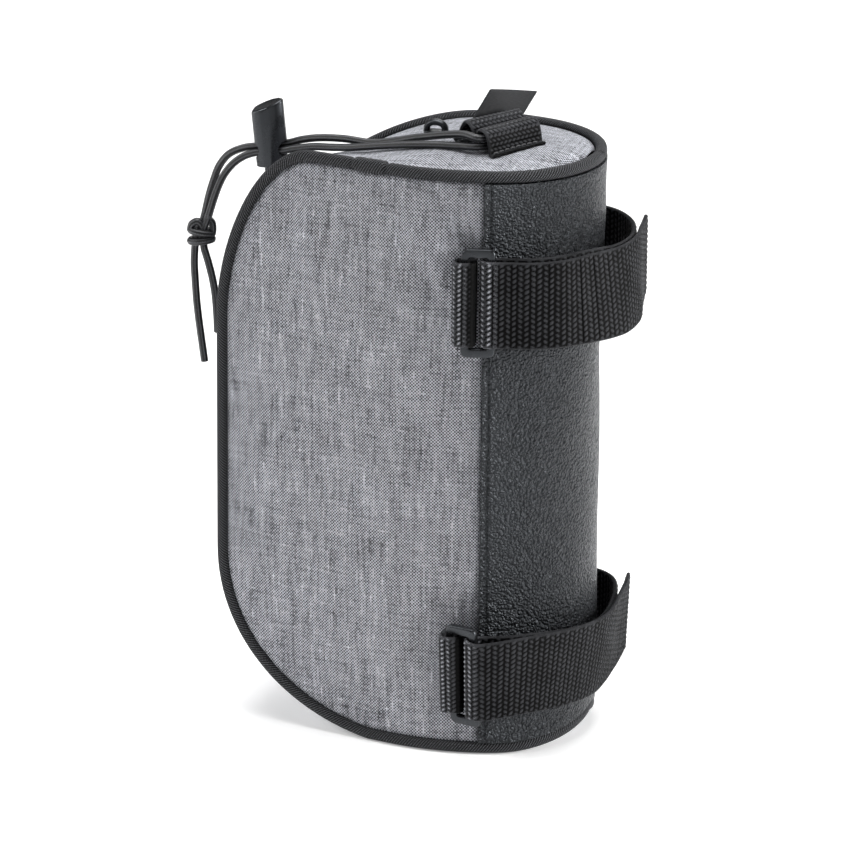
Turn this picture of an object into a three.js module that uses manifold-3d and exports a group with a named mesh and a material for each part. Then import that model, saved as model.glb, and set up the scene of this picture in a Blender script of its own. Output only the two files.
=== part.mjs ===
// A soft scooter bag: a round-backed pouch with a zipped gusset, bound edges,
// two hook-and-loop straps on the back and an elastic cord with a lock on top.
// Millimetres, +Z up. The zip faces -Y, the straps +Y, and +X is the near side.

import * as THREE from 'three';
import { mergeVertices } from 'three/addons/utils/BufferGeometryUtils.js';
import Module from 'manifold-3d';

const wasm = await Module();
wasm.setup();

// Body: a wrap of cloth that stands upright, seen from above as a tapering U
const BACK_RADIUS = 45;
const BACK_HALF_ANGLE = 75 * Math.PI / 180;
const SIDE_RADIUS = 90;
const SIDE_TAPER = 12 * Math.PI / 180;
const WRAP_REACH = 184;        // along the wrap, from the middle of the back to the front edge
const SEAM_AT = 62;            // along the wrap, from the middle of the back to the side seam
const RIM_TOP = 256.4;
const WALL = 2.2;
const GAP = 0.3;
const TOP_CORNER = {
  near: { run: 42, drop: 75, power: 1.77 },
  far: { run: 95, drop: 80, power: 1.8 },   // the far shoulder has slumped
};
const BOTTOM_CORNER = { run: 90, rise: 75, power: 2.1, settle: 1.2 };
const BACK_HEM = { lift: 7, reach: 50, power: 1.5 };
const BACK_FLARE = { depth: 1.5, from: 165, reach: 70 };   // the back leans out towards its top edge
const SIDE_BULGE = { depth: 3, from: 78 };

// Bound edge along every seam of the gusset
const PIPING = { flat: 2.4, sides: 8, sink: 0.5 };
const RIM_BASE = PIPING.flat;
const PANEL_INSET = 3.2;
const GUSSET_INSET = 4.2;

// Height of the gusset's crown by distance along the wrap
const TOP_CROWN = [
  { along: 8, crown: 1.5 },
  { along: 28, crown: 4.4 },
  { along: 55, crown: 5.4 },
  { along: 88, crown: 4.6 },
  { along: 106, crown: 1.8 },
  { along: 124, crown: -0.2 },
  { along: 145, crown: 0 },
  { along: 165, crown: 2.5 },
  { along: 184, crown: 6 },
];
const BOTTOM_CROWN = [
  { along: 8, crown: 0, drop: RIM_BASE },
  { along: 112, crown: 0, drop: RIM_BASE },
  { along: 150, crown: 3, drop: 0 },
  { along: 184, crown: 6, drop: 0 },
];
const CROWN_POWER = 2.2;

// Zip along the middle of the gusset
const ZIP = { start: 88, finish: 152, slot: 8 };
const TAPE = { width: 21, thick: 0.9, below: 0.45 };
const COIL = { width: 5.2, top: 0.3, base: -2.3 };
const SLIDER = { along: 96, length: 10, width: 6.6, plate: 1.8, bail: 4.4, bailWall: 1.2 };

// Straps: the middle of the webbing by angle round the back, and how far its top edge leans out
const WEBBING = { width: 38, thick: 1.8 };
const STRAPS = {
  upper: {
    middle: 202.9,
    inner: [
      { angle: -79, radius: 46.6, lift: 0, lean: 0 }, { angle: -72, radius: 48.6, lift: 0, lean: 0 },
      { angle: -62, radius: 54, lift: 0, lean: 0 }, { angle: -50, radius: 58.4, lift: 0, lean: 0 },
      { angle: -40, radius: 60.6, lift: 0, lean: 0 }, { angle: -28, radius: 61, lift: 0, lean: 0 },
      { angle: -16, radius: 60.6, lift: 0, lean: -0.5 }, { angle: -4, radius: 60.6, lift: 0.2, lean: -1.9 },
      { angle: 11, radius: 59.9, lift: 0.6, lean: -4 }, { angle: 20, radius: 57.6, lift: 1, lean: -5 },
      { angle: 28, radius: 55.6, lift: 1.2, lean: -4.5 }, { angle: 36, radius: 54.7, lift: 1.2, lean: -2.5 },
      { angle: 44, radius: 54.1, lift: 1.2, lean: -1 }, { angle: 56, radius: 51.6, lift: 0.8, lean: 0 },
      { angle: 66, radius: 47.8, lift: 0.3, lean: 0 },
    ],
    outer: [
      { angle: 66, radius: 52.6, lift: 0, lean: 0 }, { angle: 56, radius: 55, lift: 0, lean: 0 },
      { angle: 44, radius: 56.9, lift: 0, lean: -1 }, { angle: 36, radius: 57.3, lift: 0, lean: -2.5 },
      { angle: 28, radius: 58.1, lift: 0, lean: -4.5 }, { angle: 20, radius: 60.1, lift: 0.1, lean: -5 },
      { angle: 11, radius: 62.4, lift: 0.3, lean: -4 }, { angle: -4, radius: 63.2, lift: 0.6, lean: -1.9 },
      { angle: -16, radius: 63.6, lift: 1, lean: -0.5 }, { angle: -22, radius: 65, lift: 1.3, lean: 0 },
      { angle: -28, radius: 67.2, lift: 1.6, lean: 0 },
    ],
    ring: { forward: 0, lift: 0, lean: 0, tilt: 0 },
    tip: 0, heel: 3.2,   // the corners of its free end turn up
  },
  lower: {
    middle: 38.9,
    inner: [
      { angle: -79, radius: 46.6, lift: -4.5, lean: 0 }, { angle: -72, radius: 49.6, lift: -4.2, lean: 0 },
      { angle: -63, radius: 56, lift: -3.7, lean: 0 }, { angle: -54, radius: 60.6, lift: -3.2, lean: 0 },
      { angle: -45, radius: 61, lift: -2.9, lean: 0.5 }, { angle: -36, radius: 58.6, lift: -2.7, lean: 1.5 },
      { angle: -27, radius: 55.4, lift: -2.7, lean: 3 }, { angle: -16, radius: 52.5, lift: -2.9, lean: 4 },
      { angle: -4, radius: 50.9, lift: -3.2, lean: 5 }, { angle: 8, radius: 50.4, lift: -3.5, lean: 5.5 },
      { angle: 20, radius: 50.4, lift: -2.7, lean: 6 }, { angle: 32, radius: 50.6, lift: -1.9, lean: 6 },
      { angle: 44, radius: 51.3, lift: -0.9, lean: 6 }, { angle: 56, radius: 52.5, lift: 0, lean: 6 },
      { angle: 66, radius: 53.5, lift: 0, lean: 6 },
    ],
    outer: [
      { angle: 66, radius: 58.6, lift: 0, lean: 6 }, { angle: 56, radius: 56.5, lift: 0.3, lean: 6 },
      { angle: 44, radius: 54.3, lift: -0.3, lean: 6 }, { angle: 32, radius: 53.2, lift: -0.9, lean: 6 },
      { angle: 20, radius: 53, lift: -1.4, lean: 6 }, { angle: 8, radius: 53, lift: -1.9, lean: 5.5 },
      { angle: -4, radius: 53.6, lift: -1.3, lean: 5 }, { angle: -16, radius: 55.5, lift: -0.7, lean: 4 },
      { angle: -26, radius: 59.4, lift: -0.3, lean: 3 }, { angle: -34, radius: 64, lift: 0, lean: 1.5 },
    ],
    ring: { forward: 3, lift: 4.5, lean: 6, tilt: 2.6 * Math.PI / 180 },
    tip: 1.2, heel: 4,
  },
};
const STRAP_STEPS = 30;
const FOLD = { steps: 7, radius: 2.9, shift: 1 };
const TIP_REACH = 30;

// Moulded rings on the near seam, and the webbing loops that hold them
const RING = {
  along: 63.5, width: 14.5, height: 47.5, bar: 3.4, endBar: 4.1, thick: 3, off: 4.2,
  corner: 2.6, bevel: 0.5,
};
const TAB_WIDTH = 37;
const TAB_BEND = 70;   // along the wrap, where the loop turns back
const TAB_OUTLINE = [
  { along: 64.3, out: 0.4 }, { along: 72, out: 0.4 }, { along: 73.6, out: 1.4 }, { along: 74.2, out: 3 },
  { along: 74.2, out: 6.4 }, { along: 73.6, out: 8 }, { along: 72, out: 8.8 }, { along: 66.8, out: 8.8 },
  { along: 64.3, out: 6 },
];
const TAB_LOOP = [
  { along: 65.9, out: 2 }, { along: 71.6, out: 2 }, { along: 72.5, out: 2.9 }, { along: 72.5, out: 6.3 },
  { along: 71.6, out: 7.2 }, { along: 67.2, out: 7.2 }, { along: 65.9, out: 5.4 },
];

// Webbing keeper on the top, running askew to the zip, with the label behind it
const KEEPER = { x: 26, y: 5, turn: 142 * Math.PI / 180, width: 28, thick: 1.5 };
const KEEPER_ARCH = [
  { across: -3.4, height: 0 }, { across: -0.6, height: 0.1 }, { across: 0.8, height: 4.2 },
  { across: 2.8, height: 8.4 }, { across: 6.4, height: 8.4 }, { across: 8.4, height: 4.4 },
  { across: 10.6, height: 4.6 }, { across: 13, height: 8.4 }, { across: 15.8, height: 9.6 },
  { across: 18.6, height: 7 }, { across: 20.6, height: 2.2 }, { across: 24, height: 0 },
];
const KEEPER_COLUMNS = 5;
const LABEL = {
  across: 22.3, foot: 3.9, thick: 1,
  ends: [{ foot: 5, top: 17.9, high: 281.4 }, { foot: 33, top: 42.2, high: 276.7 }],   // it slants and sags
};

// Elastic cord with its lock and knot
const CORD = { radius: 1.6, sides: 8 };
const CORD_CHANNEL = { across: 4.6, near: 2.4, far: 5.9, deep: 23 };
const CORD_ROUTES = {
  cord_near: [
    [24.4, 0.4, 263.4], [23, -7.6, 262.7], [21.4, -16.5, 261.9], [20.2, -25, 261], [18.6, -34, 259.7],
    [16.6, -42.5, 258.1], [14.2, -51, 256.3], [11.6, -59.5, 254.4], [9, -68, 253], [7.2, -77, 252],
    [6, -85, 250.2], [5.6, -92, 248.5], [5.6, -98, 247.6], [5.8, -103.5, 246.6], [6.1, -108.3, 244.7],
    [6.5, -113, 241.1], [6.9, -116.9, 236], [7.2, -119.6, 230.2], [7.2, -121.8, 223.8], [7, -124.1, 216.4],
  ],
  cord_far: [
    [24.3, 0.4, 267], [22, -5.9, 267.5], [17.6, -14.4, 265.6], [14.2, -23.5, 263.2], [12, -31, 261.2],
    [10, -38, 259.1], [8.2, -45, 257.1], [6.8, -52, 255.9], [5.2, -63.5, 256.1], [3.8, -75, 255.2],
    [2.8, -83, 253.5], [2.5, -89, 251.5], [2.5, -95.5, 250], [2.5, -103, 248.8], [2.7, -109.7, 247.4],
    [3, -115.9, 244.3], [3.2, -120.1, 239], [3.4, -122.7, 232.2], [3.6, -124.7, 225.4], [4, -126.6, 216.4],
  ],
  cord_tail_front: [
    [4, -131, 201.8], [4, -131.3, 194.9], [4, -130.9, 186.8], [4, -130.3, 177.8], [4, -129.2, 168],
    [4, -127.9, 158.6], [4, -126.8, 150.5],
  ],
  cord_tail_side: [
    [6.2, -126, 201.8], [6, -124.3, 196.1], [6, -122.5, 189.1], [6, -121.4, 182.9], [6, -120.6, 174],
    [6, -120.2, 165],
  ],
};
const CORD_STEPS = { cord_near: 44, cord_far: 44, cord_tail_front: 10, cord_tail_side: 8 };
const KNOT = { x: 5, y: -128.4, z: 208.9, squeeze: 0.86 };
const KNOT_RINGS = [
  { up: -6.6, radius: 2.4 }, { up: -5, radius: 5 }, { up: -3, radius: 5.9 }, { up: -1.2, radius: 5.3 },
  { up: 0.5, radius: 6.3 }, { up: 2.8, radius: 6.5 }, { up: 4.8, radius: 5.2 }, { up: 6.6, radius: 2.6 },
];
const LOCK = {
  x: 4, y: -95.6, z: 241.4, lean: 6 * Math.PI / 180, height: 27, slant: 17 * Math.PI / 180, ease: 0.9,
  cordWay: { up: 7.4, high: 6.8, wide: 7.4 }, bore: 0.62, foot: 3, shaft: 3.4, clear: 0.3,
};
const LOCK_PLAN = [
  { fore: -7, half: 2.1 }, { fore: -5.4, half: 3.5 }, { fore: -2.4, half: 4.6 }, { fore: 1.2, half: 4.8 },
  { fore: 4.8, half: 3.5 }, { fore: 7, half: 1.2 },
];

const CLOTH = finish('cloth_grey', 0x8f9194, 0.95);
const LEATHERETTE = finish('leatherette_black', 0x17171a, 0.5);
const BINDING = finish('binding_black', 0x1b1b1d, 0.9);
const WEB = finish('webbing_black', 0x18181a, 0.9);
const ZIP_CLOTH = finish('zip_black', 0x141416, 0.8);
const PLASTIC = finish('plastic_black', 0x111113, 0.4);
const ELASTIC = finish('elastic_black', 0x1a1a1c, 0.85);
const LABEL_CLOTH = finish('label_black', 0x131315, 0.6);

function finish(name, color, roughness) {
  const material = new THREE.MeshStandardMaterial({ color, roughness, metalness: 0 });
  material.name = name;
  return material;
}

function share(value, low, high) {
  return THREE.MathUtils.clamp((value - low) / (high - low), 0, 1);
}

function steps(from, to, count) {
  return Array.from({ length: count + 1 }, (_, index) => THREE.MathUtils.lerp(from, to, index / count));
}

// Column of a table at a distance along the wrap, straight between the rows
function lookUp(table, column, along) {
  const next = table.findIndex((row) => row.along > along);
  if (next < 0) {
    return table.at(-1)[column];
  }
  const after = table[next];
  const before = table[next - 1];
  return THREE.MathUtils.lerp(before[column], after[column], share(along, before.along, after.along));
}

// Closed mesh from points and triangles, turned the right side out
function solidFrom(points, triangles) {
  let volume = 0;
  for (const [a, b, c] of triangles) {
    volume += points[a].dot(points[b].clone().cross(points[c]));
  }
  const ordered = volume > 0 ? triangles : triangles.map(([a, b, c]) => [a, c, b]);
  const geometry = new THREE.BufferGeometry().setFromPoints(points);
  geometry.setIndex(ordered.flat());
  geometry.computeVertexNormals();
  return geometry;
}

// Sheet between two grids of points, closed round the edge of the squares that are kept
function sheet(rows, columns, outer, inner, keep = () => true) {
  const points = [];
  for (let row = 0; row < rows; row += 1) {
    for (let column = 0; column < columns; column += 1) {
      points.push(outer(row, column), inner(row, column));
    }
  }
  const face = (row, column) => (row * columns + column) * 2;
  const back = (row, column) => face(row, column) + 1;
  const inside = (row, column) => row >= 0 && column >= 0 && row < rows - 1 && column < columns - 1;
  const kept = (row, column) => inside(row, column) && keep(row, column);
  const triangles = [];
  const quad = (a, b, c, d) => triangles.push([a, b, c], [a, c, d]);
  for (let r = 0; r < rows - 1; r += 1) {
    for (let c = 0; c < columns - 1; c += 1) {
      if (!kept(r, c)) {
        continue;
      }
      quad(face(r, c), face(r, c + 1), face(r + 1, c + 1), face(r + 1, c));
      quad(back(r, c), back(r + 1, c), back(r + 1, c + 1), back(r, c + 1));
      if (!kept(r - 1, c)) {
        quad(back(r, c), back(r, c + 1), face(r, c + 1), face(r, c));
      }
      if (!kept(r + 1, c)) {
        quad(face(r + 1, c), face(r + 1, c + 1), back(r + 1, c + 1), back(r + 1, c));
      }
      if (!kept(r, c - 1)) {
        quad(face(r, c), face(r + 1, c), back(r + 1, c), back(r, c));
      }
      if (!kept(r, c + 1)) {
        quad(back(r, c + 1), back(r + 1, c + 1), face(r + 1, c + 1), face(r, c + 1));
      }
    }
  }
  return dropUnused(solidFrom(points, triangles));
}

function dropUnused(geometry) {
  const loose = geometry.toNonIndexed();
  loose.deleteAttribute('normal');
  return weld(loose);
}

function weld(geometry) {
  geometry.deleteAttribute('uv');
  geometry.deleteAttribute('normal');
  const merged = mergeVertices(geometry, 1e-4);
  merged.computeVertexNormals();
  return merged;
}

// Skin over rings of points, capped at both ends or joined into a loop
function loft(rings, loop = false) {
  const size = rings[0].length;
  const triangles = [];
  const links = loop ? rings.length : rings.length - 1;
  for (let ring = 0; ring < links; ring += 1) {
    const here = ring * size;
    const there = ((ring + 1) % rings.length) * size;
    for (let k = 0; k < size; k += 1) {
      const turn = (k + 1) % size;
      triangles.push([here + k, here + turn, there + turn], [here + k, there + turn, there + k]);
    }
  }
  if (!loop) {
    const last = (rings.length - 1) * size;
    for (let k = 1; k < size - 1; k += 1) {
      triangles.push([0, k + 1, k], [last, last + k, last + k + 1]);
    }
  }
  return solidFrom(rings.flat(), triangles);
}

function outlineShape(points) {
  return new THREE.Shape(points.map(([x, y]) => new THREE.Vector2(x, y)));
}

// Wrap seen from above; distances on the far side are negative
function wrapPlan(along) {
  const side = along < 0 ? -1 : 1;
  const run = Math.abs(along);
  const backArc = BACK_RADIUS * BACK_HALF_ANGLE;
  const sideArc = SIDE_RADIUS * (Math.PI / 2 + SIDE_TAPER - BACK_HALF_ANGLE);
  const turn = Math.min(run, backArc) / BACK_RADIUS
    + THREE.MathUtils.clamp(run - backArc, 0, sideArc) / SIDE_RADIUS;
  const straight = Math.max(0, run - backArc - sideArc);
  const onBack = run <= backArc;
  const radius = onBack ? BACK_RADIUS : SIDE_RADIUS;
  const offset = onBack ? 0 : BACK_RADIUS - SIDE_RADIUS;
  const x = offset * Math.sin(BACK_HALF_ANGLE) + radius * Math.sin(turn) + straight * Math.cos(turn);
  const y = offset * Math.cos(BACK_HALF_ANGLE) + radius * Math.cos(turn) - straight * Math.sin(turn);
  return { x: side * x, y, outX: side * Math.sin(turn), outY: Math.cos(turn) };
}

function wrapPoint(along, out, up) {
  const plan = wrapPlan(along);
  const rise = share(up, BACK_FLARE.from, RIM_TOP);
  const lean = BACK_FLARE.depth * rise * rise * Math.max(0, 1 - (along / BACK_FLARE.reach) ** 2);
  return new THREE.Vector3(plan.x + plan.outX * out, plan.y + plan.outY * out + lean, up);
}

function cornerFall(along, run, fall, power, inset) {
  const across = share(along, WRAP_REACH - run, WRAP_REACH - inset);
  return (fall - inset) * (1 - (1 - across ** power) ** (1 / power));
}

function topEdge(along, corner, inset = 0) {
  return RIM_TOP - inset - cornerFall(along, corner.run, corner.drop, corner.power, inset);
}

function bottomEdge(along, inset = 0) {
  const { run, rise, power, settle } = BOTTOM_CORNER;
  const lift = BACK_HEM.lift * Math.max(0, 1 - along / BACK_HEM.reach) ** BACK_HEM.power;
  return RIM_BASE + inset + lift + Math.max(0, cornerFall(along, run, rise, power, inset) - settle);
}

// Stations of the seam from the top of the back, over the top, down the front and back underneath
function stations(first) {
  const cornerAt = WRAP_REACH - TOP_CORNER.near.run;
  const overTop = [
    ...steps(first, ZIP.start, 7),
    ...steps(ZIP.start, cornerAt, 4).slice(1),
    ...steps(0, Math.PI / 2, 8).slice(1)
      .map((turn) => WRAP_REACH - TOP_CORNER.near.run * (1 - Math.sin(turn))),
  ].map((along) => ({
    face: 'top', along, near: topEdge(along, TOP_CORNER.near), far: topEdge(along, TOP_CORNER.far),
  }));
  const underneath = [
    ...steps(0, Math.PI / 2, 10).map((turn) => WRAP_REACH - BOTTOM_CORNER.run * (1 - Math.cos(turn))),
    ...steps(WRAP_REACH - BOTTOM_CORNER.run, first, 9).slice(1),
  ].map((along) => ({ face: 'bottom', along, near: bottomEdge(along), far: bottomEdge(along) }));
  const upper = overTop.at(-1);
  const lower = underneath[0];
  const downFront = steps(0, 1, 6).slice(1, -1).map((part) => ({
    face: 'front',
    along: WRAP_REACH,
    near: THREE.MathUtils.lerp(upper.near, lower.near, part),
    far: THREE.MathUtils.lerp(upper.far, lower.far, part),
  }));
  return [...overTop, ...downFront, ...underneath];
}

// Gusset rows: each spans from the near seam to the far seam and is crowned outwards
const GUSSET_FIRST = 8;
const GUSSET_ROWS = gussetRows();

function gussetRows() {
  const rows = stations(GUSSET_FIRST).map((station) => {
    const near = wrapPoint(station.along, -GUSSET_INSET, station.near);
    const far = wrapPoint(-station.along, -GUSSET_INSET, station.far);
    const table = station.face === 'bottom' ? BOTTOM_CROWN : TOP_CROWN;
    return {
      ...station,
      middle: near.clone().lerp(far, 0.5),
      across: near.clone().sub(far).normalize(),
      half: near.distanceTo(far) / 2,
      crown: lookUp(table, 'crown', station.along),
      drop: station.face === 'bottom' ? lookUp(BOTTOM_CROWN, 'drop', station.along) : 0,
      zipped: station.face === 'front' || station.along >= (station.face === 'top' ? ZIP.start : ZIP.finish),
    };
  });
  rows.forEach((row, index) => {
    const after = rows[Math.min(index + 1, rows.length - 1)];
    const before = rows[Math.max(index - 1, 0)];
    const onward = after.middle.clone().sub(before.middle).normalize();
    row.onward = onward;
    row.out = onward.clone().cross(row.across).normalize();
  });
  return rows;
}

// Point on the gusset by row, sideways distance from its middle and height off the cloth
function gussetPoint(index, sideways, off) {
  const lower = Math.floor(index);
  const upper = Math.min(lower + 1, GUSSET_ROWS.length - 1);
  const [from, to] = [lower, upper].map((at) => {
    const row = GUSSET_ROWS[at];
    const crown = row.crown * (1 - Math.min(1, Math.abs(sideways) / row.half) ** CROWN_POWER);
    return row.middle.clone()
      .addScaledVector(row.across, sideways)
      .addScaledVector(row.out, row.drop + crown + off);
  });
  return from.lerp(to, index - lower);
}

function gussetTop(x, y) {
  const next = GUSSET_ROWS.findIndex((row) => row.middle.y < y);
  const before = GUSSET_ROWS[next - 1];
  const after = GUSSET_ROWS[next];
  const part = (y - before.middle.y) / (after.middle.y - before.middle.y);
  return gussetPoint(next - 1 + part, x, 0).z;
}

function gusset() {
  const perSide = 5;
  const columns = perSide * 2 + 2;
  const sideways = (row, column) => {
    const half = GUSSET_ROWS[row].half;
    const edge = Math.min(ZIP.slot / 2, half / 3);
    const inner = column > perSide ? column - perSide - 1 : perSide - column;
    const distance = THREE.MathUtils.lerp(edge, half, inner / perSide);
    return column > perSide ? distance : -distance;
  };
  const standing = (point) => point.setZ(Math.max(0, point.z));
  const outer = (row, column) => standing(gussetPoint(row, sideways(row, column), 0));
  const inner = (row, column) => outer(row, column).addScaledVector(GUSSET_ROWS[row].out, -WALL);
  const open = (row, column) => column === perSide && GUSSET_ROWS[row].zipped && GUSSET_ROWS[row + 1].zipped;
  return sheet(GUSSET_ROWS.length, columns, outer, inner, (row, column) => !open(row, column));
}

// Strip laid along the zip between two heights off the gusset
function zipStrip(width, columns, top, base, short) {
  const first = GUSSET_ROWS.findIndex((row) => row.zipped);
  const last = GUSSET_ROWS.findLastIndex((row) => row.zipped);
  const indices = [first + short, ...steps(first + 1, last - 1, last - first - 2), last - short];
  const sideways = (column) => THREE.MathUtils.lerp(-width / 2, width / 2, column / (columns - 1));
  return sheet(
    indices.length,
    columns,
    (row, column) => gussetPoint(indices[row], sideways(column), top),
    (row, column) => gussetPoint(indices[row], sideways(column), base),
  );
}

// Slider with an arched bail, standing on the coil
function zipSlider() {
  const { length, width, plate, bail, bailWall } = SLIDER;
  const arch = (reach, rise) => steps(0, Math.PI, 8).map((turn) => [
    reach * Math.cos(turn), plate + rise * Math.sin(turn) ** 0.7,
  ]);
  const half = length / 2;
  const foot = [[-half, plate], [-half, 0], [half, 0], [half, plate]];
  const shape = outlineShape([...foot, ...arch(half - 0.4, bail)]);
  const inside = arch(half - 0.4 - bailWall, bail - bailWall).map(([x, y]) => [x, y + 0.1]);
  shape.holes.push(new THREE.Path(inside.map(([x, y]) => new THREE.Vector2(x, y))));
  const geometry = new THREE.ExtrudeGeometry(shape, { depth: width, bevelEnabled: false });
  geometry.translate(0, COIL.top + GAP, -width / 2);
  const next = GUSSET_ROWS.findIndex((row) => row.along >= SLIDER.along);
  const [before, after] = [GUSSET_ROWS[next - 1], GUSSET_ROWS[next]];
  const index = next - 1 + share(SLIDER.along, before.along, after.along);
  const onward = gussetPoint(next, 0, 0).sub(gussetPoint(next - 1, 0, 0)).normalize();
  const out = onward.clone().cross(before.across).normalize();
  const frame = new THREE.Matrix4().makeBasis(onward, out, onward.clone().cross(out));
  frame.setPosition(gussetPoint(index, 0, 0));
  return weld(geometry.applyMatrix4(frame));
}

// Bound edge: an eight-sided bead round the whole seam, flat side down
function piping() {
  const seam = stations(0);
  const near = seam.map((at) => ({ along: at.along, up: at.near }));
  const far = seam.map((at) => ({ along: -at.along, up: at.far })).slice(1, -1).reverse();
  const path = [...near, ...far];
  const centres = path.map(({ along, up }) => wrapPoint(along, -PIPING.sink, up));
  const radius = PIPING.flat / Math.cos(Math.PI / PIPING.sides);
  const rings = path.map(({ along }, index) => {
    const after = centres[(index + 1) % centres.length].clone().sub(centres[index]).normalize();
    const before = centres[index].clone().sub(centres.at(index - 1)).normalize();
    const onward = after.add(before).normalize();
    const plan = wrapPlan(along);
    const out = new THREE.Vector3(plan.outX, plan.outY, 0);
    out.addScaledVector(onward, -out.dot(onward)).normalize();
    const up = onward.clone().cross(out);
    return steps(0.5, PIPING.sides - 0.5, PIPING.sides - 1).map((corner) => {
      const turn = corner * 2 * Math.PI / PIPING.sides;
      const point = centres[index].clone();
      point.addScaledVector(out, radius * Math.cos(turn)).addScaledVector(up, radius * Math.sin(turn));
      return point.setZ(Math.max(0, point.z));
    });
  });
  return loft(rings, true);
}

// Cloth panel on the wrap between two distances, inset from the bound edge
function wrapPanel(stationsAlong, corner, bulge) {
  const columns = 9;
  const point = (row, column, off) => {
    const along = stationsAlong[row];
    const low = bottomEdge(Math.abs(along), PANEL_INSET);
    const high = topEdge(Math.abs(along), corner, PANEL_INSET);
    const up = THREE.MathUtils.lerp(low, high, column / (columns - 1));
    const fill = bulge * share(Math.abs(along), SIDE_BULGE.from, WRAP_REACH - PANEL_INSET);
    const lengthwise = Math.sin(Math.PI * share(Math.abs(along), SIDE_BULGE.from, WRAP_REACH - PANEL_INSET));
    const upright = Math.sin(Math.PI * column / (columns - 1));
    const swell = fill > 0 ? bulge * (lengthwise * upright) ** 0.8 : 0;
    return wrapPoint(along, swell + off, up);
  };
  return sheet(
    stationsAlong.length,
    columns,
    (row, column) => point(row, column, 0),
    (row, column) => point(row, column, -WALL),
  );
}

function sidePanel(side) {
  const from = SEAM_AT + GAP / 2;
  const to = WRAP_REACH - PANEL_INSET;
  const along = steps(0, Math.PI / 2, 18).map((turn) => side * (to - (to - from) * (1 - Math.sin(turn))));
  return wrapPanel(along, side > 0 ? TOP_CORNER.near : TOP_CORNER.far, SIDE_BULGE.depth);
}

function backPanel() {
  const reach = SEAM_AT - GAP / 2;
  return wrapPanel(steps(-reach, reach, 22), TOP_CORNER.near, 0);
}

// Ring's own frame: its front bar lies in the tab, and it may lean and stand off the bag
function ringFrame(strap) {
  const { forward, lift, lean } = strap.ring;
  const along = RING.along + forward;
  const span = RING.width - RING.bar;
  const plan = wrapPlan(along);
  const out = new THREE.Vector3(plan.outX, plan.outY, 0);
  const upright = out.clone().multiplyScalar(lean / WEBBING.width)
    .setZ(Math.sqrt(1 - (lean / WEBBING.width) ** 2));
  const turn = Math.asin(lift / span);
  const reach = new THREE.Vector3(-plan.outY, plan.outX, 0).multiplyScalar(Math.cos(turn))
    .addScaledVector(out, Math.sin(turn));
  reach.addScaledVector(upright, -reach.dot(upright)).normalize();
  const frontBar = wrapPoint(along + span / 2, RING.off + lean / 2, strap.middle);
  return {
    reach, upright, face: reach.clone().cross(upright),
    middle: frontBar.clone().addScaledVector(reach, span / 2),
    rearBar: frontBar.clone().addScaledVector(reach, span),
  };
}

function roundedRectangle(width, height, corner) {
  const points = [];
  for (const [sx, sy, start] of [[1, 1, 0], [-1, 1, 0.5], [-1, -1, 1], [1, -1, 1.5]]) {
    for (const turn of steps(start * Math.PI, (start + 0.5) * Math.PI, 3)) {
      points.push([
        sx * (width / 2 - corner) + corner * Math.cos(turn),
        sy * (height / 2 - corner) + corner * Math.sin(turn),
      ]);
    }
  }
  return points;
}

function ring(strap) {
  const { width, height, bar, endBar, thick, corner, bevel } = RING;
  const shape = outlineShape(roundedRectangle(width, height, corner));
  const opening = roundedRectangle(width - bar * 2, height - endBar * 2, 0.8);
  shape.holes.push(new THREE.Path(opening.map(([x, y]) => new THREE.Vector2(x, y))));
  const geometry = new THREE.ExtrudeGeometry(shape, {
    depth: thick - bevel * 2,
    bevelThickness: bevel,
    bevelSize: bevel,
    bevelOffset: -bevel,
    bevelSegments: 1,
  });
  geometry.translate(0, 0, bevel - thick / 2);
  geometry.rotateZ(strap.ring.tilt);
  const { reach, upright, face, middle } = ringFrame(strap);
  const frame = new THREE.Matrix4().makeBasis(reach, upright, face).setPosition(middle);
  return weld(geometry.applyMatrix4(frame));
}

// Webbing loop sewn into the near seam, round the front bar of a ring
function ringTab(strap) {
  const shape = outlineShape(TAB_OUTLINE.map(({ along, out }) => [along, out]));
  shape.holes.push(new THREE.Path(TAB_LOOP.map(({ along, out }) => new THREE.Vector2(along, out))));
  const geometry = weld(new THREE.ExtrudeGeometry(shape, { depth: TAB_WIDTH, bevelEnabled: false }));
  const position = geometry.getAttribute('position');
  const { forward, lean } = strap.ring;
  const points = steps(0, position.count - 1, position.count - 1).map((index) => {
    const along = position.getX(index);
    const out = position.getY(index);
    const up = position.getZ(index);
    const ahead = forward * (along > TAB_BEND ? 1 : share(out, 2, 5));
    const leaning = lean * up / WEBBING.width * share(out, 2, 4.2);
    return wrapPoint(along + ahead, out + leaning, up - TAB_WIDTH / 2 + strap.middle);
  });
  const corners = Array.from(geometry.getIndex().array);
  const triangles = steps(0, corners.length / 3 - 1, corners.length / 3 - 1)
    .map((at) => corners.slice(at * 3, at * 3 + 3));
  return solidFrom(points, triangles);
}

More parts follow.
